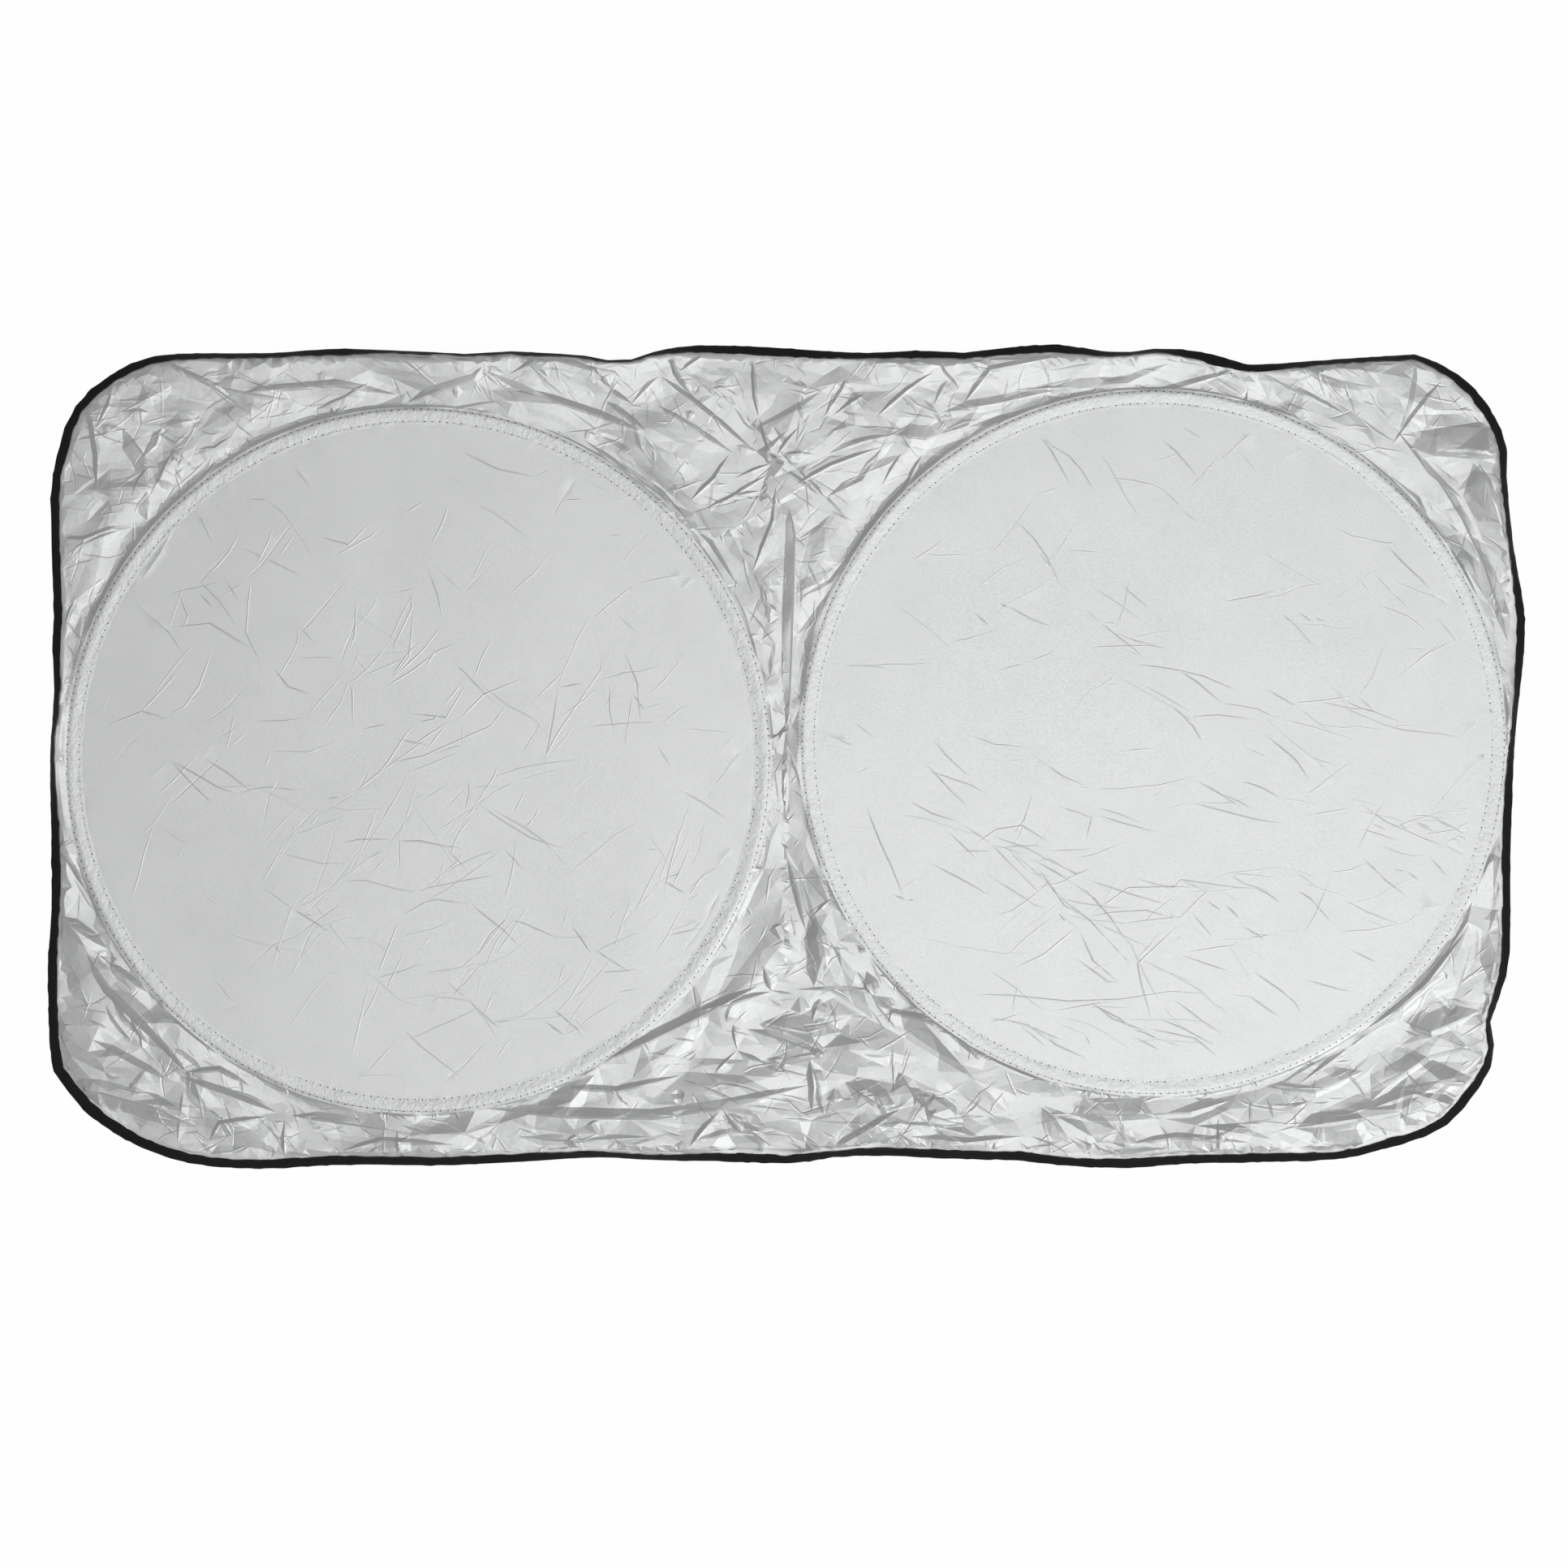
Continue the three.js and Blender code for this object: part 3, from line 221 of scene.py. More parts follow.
@dataclass(frozen=True)
class SheetEdge:
    """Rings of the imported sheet's edge in millimetres, anticlockwise from above.

    hem runs inside the tape's slot, lip runs where the sheet comes out of the tape, and across
    is the direction out of the sheet's front at each station.
    """

    hem: Array
    lip: Array
    across: Array

    @classmethod
    def of_node(cls, node: bpy.types.Object, plan: ShadePlan) -> "SheetEdge":
        """Reads the rings from the CAD sheet's mesh.

        Args:
            node: The CAD sheet, a closed shell whose wall edges are as long as it is thick.
            plan: The shade's sizes.

        Returns:
            The three rings, station by station.
        """
        shell = bmesh.new()
        shell.from_mesh(node.data)
        bmesh.ops.remove_doubles(shell, verts=shell.verts, dist=2e-6)
        wall = 1.5 * plan.sheet_thickness * MM
        under = {}
        for edge in shell.edges:
            if edge.calc_length() < wall:
                top, bottom = sorted(edge.verts, key=lambda v: -v.co.z)
                under[top] = bottom
        start = next(iter(under))
        ring, came = [start], None
        while True:
            here = ring[-1]
            steps = [e.other_vert(here) for e in here.link_edges]
            onward = [v for v in steps if v in under and v is not came and v is not here]
            came = here
            following = onward[0] if len(ring) > 1 else onward[-1]
            if following is start:
                break
            ring.append(following)
        pairs = zip(ring, ring[1:] + ring[:1], strict=True)
        turn = sum(a.co.x * b.co.y - b.co.x * a.co.y for a, b in pairs)
        if turn < 0:
            ring.reverse()
        hem, lip, across = [], [], []
        half = plan.sheet_thickness / 2
        for before, here in zip([ring[-1]] + ring[:-1], ring, strict=True):
            shared = {f for f in before.link_faces} & {f for f in here.link_faces}
            corners = [v for f in shared for v in f.verts if v not in (before, here)]
            apex = next(v for v in corners if v not in under.values())
            out = (here.co - under[here].co).normalized()
            hem.append((here.co + under[here].co) / (2 * MM))
            lip.append(apex.co / MM - out * half)
            across.append(out)
        shell.free()
        return cls(*(np.array([list(p) for p in ring], float) for ring in (hem, lip, across)))

    def holds(self, x: Array, y: Array) -> Array:
        """Whether plan points lie inside the lip.

        Args:
            x: The points' places across the plan.
            y: Their places up the plan.

        Returns:
            True for each point inside.
        """
        crossings = np.zeros(len(x), int)
        for a, b in zip(self.lip, np.roll(self.lip, -1, axis=0), strict=True):
            if a[1] != b[1]:
                spans = (a[1] > y) != (b[1] > y)
                crossings += spans & (x < a[0] + (y - a[1]) * (b[0] - a[0]) / (b[1] - a[1]))
        return crossings % 2 == 1


# Heights of the cloth


class SoftNoise:
    """Smooth random values over the plan, from -1 to 1."""

    def __init__(self, wavelength: float, seed: int, plan: ShadePlan) -> None:
        """Draws the random values that the rest run through.

        Args:
            wavelength: Distance between the drawn values in millimetres.
            seed: Seed of the random values.
            plan: The shade's sizes.
        """
        self.wavelength = wavelength
        self.corner = (plan.length / 2 + wavelength, plan.width / 2 + wavelength)
        columns, rows = (int(2 * reach / wavelength) + 3 for reach in self.corner)
        self.knots = np.random.default_rng(seed).uniform(-1, 1, (rows, columns))

    def at(self, x: Array, y: Array) -> Array:
        """The values at plan points.

        Args:
            x: The points' places across the plan.
            y: Their places up the plan.

        Returns:
            One value for each point.
        """
        across = (x + self.corner[0]) / self.wavelength
        up = (y + self.corner[1]) / self.wavelength
        i, j = across.astype(int), up.astype(int)
        s, t = smooth(across - i), smooth(up - j)
        low = self.knots[j, i] * (1 - s) + self.knots[j, i + 1] * s
        high = self.knots[j + 1, i] * (1 - s) + self.knots[j + 1, i + 1] * s
        return low * (1 - t) + high * t


def delaunay(points: Array) -> Array:
    """Triangulates plan points.

    Args:
        points: The points, one row each.

    Returns:
        Three point numbers a row.
    """
    found = geometry.delaunay_2d_cdt([Vector(p) for p in points.tolist()], [], [], 0, 1e-6)
    source = np.array([origin[0] for origin in found[3]])
    return source[np.array(found[2])]


@dataclass(frozen=True)
class Facets:
    """Flat facets over part of the plan, in millimetres.

    points are plan corners, heights are theirs, and faces has three corner numbers a row.
    """

    points: Array
    heights: Array
    faces: Array

    def at(self, x: Array, y: Array) -> Array:
        """Height of the facets at plan points.

        Args:
            x: The points' places across the plan.
            y: Their places up the plan.

        Returns:
            One height for each point, 0 beyond the facets.
        """
        height = np.zeros(len(x))
        low, high = self.points.min(axis=0), self.points.max(axis=0)
        near = np.flatnonzero((x > low[0]) & (x < high[0]) & (y > low[1]) & (y < high[1]))
        near = near[np.argsort(x[near])]
        corners, tops = self.points[self.faces], self.heights[self.faces]
        lows, highs = corners.min(axis=1) - 1e-3, corners.max(axis=1) + 1e-3
        first, last = (np.searchsorted(x[near], side[:, 0]) for side in (lows, highs))
        for k, (a, b, c) in enumerate(corners):
            some = near[first[k] : last[k]]
            some = some[(y[some] > lows[k, 1]) & (y[some] < highs[k, 1])]
            ab, ac = b - a, c - a
            twice = ab[0] * ac[1] - ab[1] * ac[0]
            if not len(some) or abs(twice) < 1e-6:
                continue
            dx, dy = x[some] - a[0], y[some] - a[1]
            u, v = (dx * ac[1] - dy * ac[0]) / twice, (dy * ab[0] - dx * ab[1]) / twice
            inside = (u > -1e-4) & (v > -1e-4) & (u + v < 1 + 1e-4)
            rise = tops[k, 0] + u * (tops[k, 1] - tops[k, 0]) + v * (tops[k, 2] - tops[k, 0])
            height[some[inside]] = rise[inside]
        return height

    def edges(self, step: float) -> Array:
        """The lines between the facets, in pieces no longer than a step.

        Args:
            step: Longest piece.

        Returns:
            Both plan ends of each piece, in an array of shape (pieces, 2, 2).
        """
        pairs = np.vstack([self.faces[:, k] for k in ([0, 1], [1, 2], [2, 0])])
        pairs = np.unique(np.sort(pairs, axis=1), axis=0)
        pieces = []
        for a, b in self.points[pairs]:
            span = math.hypot(*(b - a))
            if span > 1e-3:
                cuts = np.linspace(0, 1, math.ceil(span / step) + 1)[:, None]
                line = a + cuts * (b - a)
                pieces.append(np.stack([line[:-1], line[1:]], axis=1))
        return np.vstack(pieces)


@dataclass(frozen=True)
class Fold:
    """A crease of the slack cloth: a crest between two flat flanks that runs out at its ends.

    Sizes are in millimetres. upper and lower are the widths of the flanks that face the top left
    and the bottom right of the plan.
    """

    rise: float
    upper: float
    lower: float
    crest: tuple[Point, ...]
    shoulder: float = 0.0

    def facets(self) -> Facets:
        """The crease's flanks, the lower one with a steeper top where it has a shoulder.

        Returns:
            The flanks as facets.
        """
        path = [np.array(p, float) for p in self.crest]
        path.insert(1, (path[0] + path[1]) / 2)
        path.insert(-1, (path[-1] + path[-2]) / 2)
        line = np.array(path)
        spans = np.linalg.norm(np.diff(line, axis=0), axis=1)
        run = np.concatenate([[0.0], np.cumsum(spans)]) / spans.sum()
        fullness = np.sin(np.pi * run**0.8) ** 0.5
        way = np.gradient(line, axis=0)
        side = np.stack([way[:, 1], -way[:, 0]], axis=1) / np.linalg.norm(way, axis=1)[:, None]
        side *= np.where(side[:, :1] > side[:, 1:], 1.0, -1.0)
        reach = side * np.minimum(fullness * 1.15, 1.0)[:, None]
        rows = [(-self.upper, 0.0), (0.0, 1.0), (self.lower, 0.0)]
        if self.shoulder:
            rows.insert(2, (self.shoulder, 0.5))
        points = np.vstack([line + reach * off for off, _ in rows])
        heights = np.concatenate([self.rise * fullness * share for _, share in rows])
        count = len(line)
        faces = []
        for row in range(len(rows) - 1):
            near, far = row * count, (row + 1) * count
            for k in range(count - 1):
                faces += [(near + k, near + k + 1, far + k), (near + k + 1, far + k + 1, far + k)]
        return Facets(points, heights, np.array(faces))


# Creases that were seen one by one: rise, upper flank, lower flank, crest
SEEN_FOLDS = tuple(
    Fold(*row, shoulder=2.4)
    for row in (
        (5, 6, 32, ((-710, 356), (-703, 340), (-698, 307), (-699, 273))),
        (2.2, 4, 10, ((-682, 376), (-687, 356), (-697, 337))),
        (6, 13, 22, ((-673, 333), (-652, 304), (-648, 279))),
        (3, 14, 9, ((-660, 357), (-632, 371), (-623, 376))),
        (4, 8, 18, ((-633, 334), (-639, 316), (-652, 304))),
        (3.6, 4, 20, ((-632, 404), (-616, 392), (-579, 375), (-555, 356))),
        (4, 18, 9, ((-582, 377), (-542, 369), (-501, 362))),
        (4.5, 20, 8, ((-708, 271), (-663, 272), (-635, 274))),
        (3, 4, 15, ((-738, 221), (-713, 220), (-687, 230), (-663, 233))),
        (2.5, 3, 9, ((-719, 213), (-675, 230))),
        (1.8, 4, 8, ((-622, 312), (-620, 302), (-608, 296))),
        (1.6, 4, 6, ((-620, 292), (-613, 283))),
        (2, 3, 6, ((-641, 282), (-620, 273))),
        (3.4, 10, 12, ((-648, 271), (-648, 239))),
        (2.6, 4, 10, ((-675, 350), (-646, 349))),
        (3.2, 12, 5, ((-632, 334), (-594, 343))),
        (4.3, 6, 15, ((-445, 406), (-386, 401), (-316, 400))),
        (4.3, 6, 10.5, ((-550, 369), (-514, 372), (-457, 377), (-394, 367))),
        (3.6, 3, 12, ((-478, 352), (-448, 364), (-422, 380))),
        (4.3, 7, 9, ((-386, 359), (-349, 372), (-316, 383), (-308, 395))),
        (2.2, 3, 7.5, ((-378, 354), (-337, 352), (-287, 361))),
        (5, 6, 21, ((-276, 371), (-236, 361), (-190, 346), (-147, 330))),
        (4.3, 4, 22, ((-281, 387), (-244, 405), (-193, 391), (-180, 374))),
        (3.6, 3, 13.5, ((-191, 390), (-175, 370), (-156, 357))),
        (2.9, 4.5, 13.5, ((-158, 357), (-130, 385))),
        (4.3, 2.6, 22, ((-126, 385), (-98, 365), (-67, 340), (-35, 312))),
        (2.9, 3.5, 15, ((-134, 358), (-93, 333), (-54, 308))),
        (3.6, 2.6, 22, ((-35, 408), (-32, 365), (-28, 344))),
        (2.9, 4, 10.5, ((-79, 410), (-108, 390))),
        (3.6, 3.5, 10.5, ((-118, 410), (-112, 389), (-96, 367))),
        (3.6, 4, 15, ((-206, 322), (-163, 290), (-128, 268), (-76, 218), (-50, 174))),
        (3.6, 4, 18, ((-183, 361), (-163, 346), (-142, 329))),
        (3.6, 4, 21, ((-98, 259), (-73, 282), (-58, 307))),
        (2.9, 3.5, 12, ((-83, 251), (-53, 264), (-25, 270))),
        (4.3, 4.5, 12, ((38, 344), (58, 374), (59, 382))),
        (3.6, 4, 9, ((47, 346), (80, 368))),
        (3.6, 4, 22, ((91, 344), (122, 371), (149, 390))),
        (5, 13, 12, ((106, 327), (142, 323), (182, 335), (203, 349))),
        (4.3, 8, 12, ((158, 349), (211, 358), (264, 370), (297, 373))),
        (4.3, 5, 18, ((179, 357), (207, 392), (272, 405))),
        (2.2, 4, 12, ((150, 357), (163, 382))),
        (4.3, 3.5, 18, ((114, 256), (128, 288), (138, 307))),
        (2.9, 3, 12, ((96, 274), (117, 308))),
        (4.3, 7, 13.5, ((42, 264), (77, 280), (96, 312))),
        (3.6, 4, 22, ((8, 275), (45, 295), (96, 314))),
        (2.9, 5, 12, ((42, 307), (75, 319), (106, 326))),
        (2.2, 2.6, 10.5, ((11, 361), (17, 342))),
        (3.6, 3, 10.5, ((-28, 344), (-16, 307))),
        (3.6, 3.5, 10.5, ((13, 335), (-10, 305))),
        (2.9, 3, 10.5, ((-54, 282), (-17, 297))),
        (2.9, 3.5, 10.5, ((-73, 253), (-19, 286))),
        (3.6, 3.5, 10.5, ((-35, 185), (-13, 240), (-11, 274))),
        (2.9, 3.5, 10.5, ((34, 265), (-6, 294))),
        (9, 40, 6, ((632, 313), (684, 309), (728, 303))),
        (7, 30, 5, ((702, 297), (714, 262), (733, 204))),
        (4.2, 5, 14, ((519, -333), (584, -286), (646, -233), (692, -173))),
        (2.9, 3, 9, ((28, 307), (-3, 307))),
        (2.5, 5, 4, ((2, 51), (-1, -65))),
        (2.9, 3.5, 9, ((1, -103), (11, -142), (20, -177))),
        (6, 16, 8, ((29, -162), (37, -202), (28, -234))),
        (2.2, 3, 9, ((26, -162), (45, -144))),
        (2.2, 4, 7.5, ((8, -236), (86, -236))),
        (4.3, 8, 12, ((231, 372), (346, 379), (389, 399))),
        (3.6, 6, 13.5, ((297, 356), (355, 362), (421, 381), (461, 393))),
        (2.9, 4, 15, ((486, 387), (527, 367), (569, 346))),
        (5, 20, 7, ((519, 395), (560, 381), (602, 374))),
        (6.5, 32, 6, ((638, 406), (629, 359), (620, 327))),
        (3.6, 4, 15, ((664, 381), (638, 348), (614, 316))),
        (7, 42, 6, ((650, 309), (688, 312), (729, 306))),
        (7, 24, 6, ((696, 298), (719, 253), (735, 200))),
        (4, 12, 8, ((659, 282), (684, 241), (709, 191))),
        (2.9, 4, 12, ((701, 209), (717, 162), (732, 116))),
        (3.6, 3.5, 10.5, ((-739, -78), (-727, -105), (-706, -142))),
        (4.3, 7, 12, ((-736, -161), (-711, -179), (-686, -196))),
        (6.5, 7, 12, ((-709, -199), (-687, -235), (-659, -261), (-625, -297), (-607, -320))),
        (3.6, 4, 9, ((-690, -207), (-666, -224), (-645, -241))),
        (3.6, 5, 18, ((-703, -287), (-666, -307), (-625, -329))),
        (8, 12, 16, ((-730, -333), (-698, -339), (-641, -354), (-597, -375))),
        (5, 4.5, 18, ((-615, -324), (-565, -341), (-517, -361))),
        (3.6, 4, 12, ((-585, -390), (-574, -372), (-526, -365))),
        (3.6, 4, 15, ((-610, -320), (-575, -317), (-544, -334))),
        (5, 7, 13.5, ((-503, -364), (-451, -370), (-400, -379))),
        (2.9, 4, 12, ((-395, -377), (-390, -410))),
        (2.9, 4, 15, ((-509, -368), (-509, -405))),
        (2.9, 4, 15, ((-451, -400), (-410, -389), (-337, -393))),
        (5.8, 9, 13.5, ((-193, -312), (-139, -288), (-83, -261), (-28, -232))),
        (3.6, 4.5, 13.5, ((-40, -276), (-1, -286), (38, -302))),
        (6, 9, 18, ((-304, -357), (-221, -364), (-135, -366), (-65, -355), (23, -333))),
        (4, 5, 24, ((-91, -258), (-50, -248), (-15, -238))),
        (6, 19, 15, ((-28, -271), (24, -282), (57, -279))),
        (4, 8, 8, ((81, -217), (90, -242))),
        (4, 5, 12, ((90, -242), (107, -260), (137, -265), (160, -275), (196, -308))),
        (7.5, 21, 10, ((114, -320), (128, -344), (149, -363), (182, -375))),
        (5, 17, 12, ((59, -330), (96, -353), (111, -352))),
        (3, 6, 16, ((-20, -306), (-2, -312), (24, -305), (42, -303))),
        (4, 6, 14, ((24, -306), (28, -335), (26, -360))),
        (3.5, 5, 9, ((-65, -356), (-44, -382))),
        (3.5, 5, 9, ((-65, -356), (-98, -395))),
        (3.5, 5, 9, ((-65, -356), (-32, -381), (-15, -395))),
        (5, 13, 8, ((33, -401), (66, -395), (118, -369))),
        (3, 8, 14, ((114, -371), (157, -376), (196, -386))),
        (2.5, 4, 5, ((22, -295), (39, -303))),
        (3, 5, 12, ((26, -269), (34, -245))),
        (3, 4, 10, ((-24, -212), (-15, -238))),
        (3.6, 5, 18, ((-229, -335), (-172, -339), (-106, -323))),
        (2.9, 5, 12, ((-271, -385), (-205, -389), (-139, -385))),
        (2.9, 5, 13.5, ((-98, -389), (-40, -378), (9, -385))),
        (2.9, 3, 9, ((-50, -298), (-73, -321))),
        (2.9, 3, 9, ((-50, -298), (-22, -312))),
        (2.9, 3, 9, ((-50, -298), (-54, -271))),
        (2.9, 5, 9, ((23, -309), (32, -335), (38, -364))),
        (4.3, 6, 12, ((42, -401), (77, -381), (116, -357))),
        (2.9, 4, 12, ((67, -327), (92, -344), (104, -372))),
        (2.9, 5, 12, ((125, -385), (182, -391), (239, -385))),
        (5, 16, 7, ((266, -363), (338, -362), (410, -360), (449, -349))),
        (2.9, 4.5, 13.5, ((347, -393), (396, -385), (470, -391))),
        (2.9, 3.5, 13.5, ((437, -367), (439, -405))),
        (4.5, 18, 7, ((486, -335), (536, -339), (585, -319))),
        (4, 14, 6, ((515, -377), (552, -374), (590, -367))),
        (5, 14, 8, ((560, -294), (618, -257), (663, -216), (692, -171))),
        (5.5, 24, 6, ((593, -349), (621, -323), (650, -303), (707, -288))),
        (5.5, 22, 6, ((621, -367), (658, -339), (693, -310))),
        (5, 18, 7, ((625, -267), (653, -278), (704, -257))),
        (4.5, 16, 6, ((725, -146), (721, -187), (713, -229))),
    )
)


# Fine ridges of the discs that were seen one by one
SEEN_WRINKLES = (
    ((-406, 73), (-383, 106), (-367, 120)),
    ((-410, 69), (-380, 87), (-351, 109)),
    ((-368, 88), (-357, 106), (-332, 116)),
    ((-353, 45), (-326, 79)),
    ((-374, 35), (-357, 38), (-353, 45)),
    ((-416, -19), (-404, -5), (-386, 23), (-374, 35)),
    ((-391, 4), (-340, 37)),
    ((-370, 0), (-346, 32)),
    ((-402, -6), (-370, 0), (-300, 31), (-276, 62)),
    ((-251, -12), (-232, 24), (-188, 88), (-187, 107)),
    ((-262, 51), (-219, 93)),
    ((-441, 74), (-440, 60), (-440, 32)),
    ((-434, 27), (-404, 33)),
    ((-179, 75), (-179, 47), (-174, 23)),
    ((-464, 200), (-421, 224), (-411, 234)),
    ((-392, 243), (-368, 259)),
    ((-343, 255), (-349, 237), (-362, 211)),
    ((-381, 166), (-380, 151), (-397, 115), (-398, 103)),
    ((190, -90), (213, -74), (239, -70), (267, -87)),
    ((209, -92), (262, -90)),
    ((254, -106), (267, -104), (294, -119), (285, -124), (254, -107)),
    ((311, -56), (305, -82)),
    ((304, -163), (347, -133), (394, -132), (400, -125), (457, -133), (486, -134)),
    ((304, -163), (330, -158), (365, -156), (391, -163), (333, -170)),
    ((254, -111), (282, -151), (304, -163)),
    ((301, -167), (262, -200), (223, -219)),
    ((391, -163), (400, -163), (426, -137), (400, -125)),
    ((400, -169), (356, -210), (360, -231), (371, -269)),
    ((293, -204), (326, -228), (337, -229)),
    ((298, -178), (311, -207), (336, -228)),
    ((426, -146), (441, -156)),
    ((445, -149), (460, -165)),
    ((462, -171), (486, -186)),
    ((190, -241), (228, -242), (285, -248), (341, -246), (390, -238), (432, -241)),
    ((269, -258), (330, -248)),
    ((402, -199), (460, -190)),
    ((400, -201), (449, -218)),
    ((360, -274), (415, -286), (438, -305)),
    ((264, -284), (273, -292), (304, -306)),
    ((204, -272), (239, -260)),
    ((228, -260), (235, -231)),
    ((-660, 158), (-626, 126), (-609, 101)),
    ((-617, 168), (-607, 143), (-613, 126)),
    ((-543, 181), (-546, 154), (-548, 126), (-531, 90)),
    ((-520, 90), (-505, 71), (-482, 63)),
    ((-626, 131), (-584, 135), (-535, 105)),
    ((-660, 40), (-634, 67), (-615, 88)),
    ((-619, 40), (-596, 71), (-581, 112)),
    ((-691, 31), (-653, 46), (-626, 38)),
    ((-406, 71), (-383, 101), (-377, 158)),
    ((-406, 73), (-368, 109), (-345, 139)),
    ((-383, 44), (-345, 40), (-322, 78)),
    ((-337, 33), (-307, 63), (-261, 82)),
    ((-501, 299), (-482, 272)),
    ((-602, 244), (-592, 238), (-581, 215)),
    ((-659, 173), (-634, 208), (-622, 232)),
    ((-364, 192), (-353, 162), (-349, 139)),
    ((-588, 181), (-565, 208), (-554, 228)),
    ((-436, 162), (-438, 124), (-444, 105)),
    ((-474, 223), (-444, 215), (-417, 242)),
    ((-539, 192), (-527, 215), (-520, 232)),
)


# The flat tuck that runs down the middle, from its upper end
TUCK = Fold(4.6, 9.5, 2.4, ((3, 252), (7, 226), (5, 150), (3, 85), (2, 36)))


@dataclass(frozen=True)
class Crumple:
    """One size of the random facets of the slack cloth, in millimetres."""

    cell: float
    stretch: float
    rise: float
    seed: int
    longest: float = 2.6
    hub: float = 6.0
    hub_growth: float = 30.0
    hub_turn: float = 0.75
    hub_range: Point = (-20.0, 110.0)
    hoop_reach: float = 130.0

    def facets(self, lay: Lay, plan: ShadePlan) -> Facets:
        """Draws the facets, longer by stretch along the way that they run.

        Args:
            lay: Which way the facets run.
            plan: The shade's sizes.

        Returns:
            The facets over the whole of that lay's reach.
        """
        random = np.random.default_rng([self.seed, list(Lay).index(lay)])
        to_plan, along, off = self.frame(lay, plan)
        cell = self.cell
        row = cell * math.sqrt(3) / 2
        s, n = np.meshgrid(np.arange(along[0], along[1], cell), np.arange(off[0], off[1], row))
        s = s + cell / 2 * (np.arange(s.shape[0]) % 2)[:, None]
        warped = np.stack([s.ravel(), n.ravel()], axis=1)
        warped += random.uniform(-0.42, 0.42, warped.shape) * cell
        heights = random.uniform(-self.rise, self.rise, len(warped))
        faces = delaunay(warped)
        corners = warped[faces]
        spans = np.linalg.norm(corners - np.roll(corners, -1, axis=1), axis=2).max(axis=1)
        faces = faces[spans < self.longest * cell]
        return Facets(to_plan(warped[:, 0], warped[:, 1]), heights, faces)

    def frame(
        self, lay: Lay, plan: ShadePlan
    ) -> tuple[Callable[[Array, Array], Array], Point, Point]:
        """The plane in which facets of one lay are even.

        Args:
            lay: Which way the facets run.
            plan: The shade's sizes.

        Returns:
            A function from that plane to the plan, and the plane's two ranges.
        """
        if lay is Lay.ALONG_EDGES:
            half_x, half_y = plan.length / 2 + self.cell * 2, plan.width / 2 + self.cell * 2
            reach = half_x / self.stretch
            return (
                lambda s, n: np.stack([s * self.stretch, n], axis=1),
                (-reach, reach),
                (-half_y, half_y),
            )
        if lay is Lay.FROM_PUCKER:
            cx, cy = plan.pucker
            hub, growth, turn = self.hub, self.hub_growth, self.hub_turn * self.cell
            return (
                lambda s, n: np.stack(
                    [
                        cx + hub * np.exp(n / growth) * np.cos(s / turn),
                        cy + hub * np.exp(n / growth) * np.sin(s / turn),
                    ],
                    axis=1,
                ),
                (0.0, 2 * math.pi * turn),
                self.hub_range,
            )
        cx, cy = plan.left_centre if lay is Lay.ROUND_LEFT_HOOP else plan.right_centre
        radius = plan.casing_outer
        per_turn = 2 * math.pi * radius / self.stretch
        return (
            lambda s, n: np.stack(
                [
                    cx + (radius + n) * np.cos(s * self.stretch / radius),
                    cy + (radius + n) * np.sin(s * self.stretch / radius),
                ],
                axis=1,
            ),
            (0.0, per_turn),
            (-self.cell, self.hoop_reach),
        )


@dataclass(frozen=True)
class Scatter:
    """One kind of random crease: how many there are, and between what its sizes lie.

    turn is how far a crease strays from the way that the cloth runs, bend how far it turns at
    each step, both in radians. Flanks are a pair of widths each, as a fold has them.
    """

    count: int
    turn: float
    rises: Point
    least_flanks: Point
    most_flanks: Point
    steps: Point = (10.0, 34.0)
    bend: float = 0.3

    def fold(
        self, random: np.random.Generator, crest: Sequence[Point], factor: float = 1.0
    ) -> Fold:
        """Draws the sizes of one crease, which is a valley one time in three.

        Args:
            random: Where the sizes come from.
            crest: The crease's line.
            factor: What the height is multiplied by.

        Returns:
            The crease.
        """
        rise = random.uniform(*self.rises) * random.choice([1, 1, -1]) * factor
        upper, lower = random.uniform(self.least_flanks, self.most_flanks)
        return Fold(rise, float(upper), float(lower), tuple(crest))


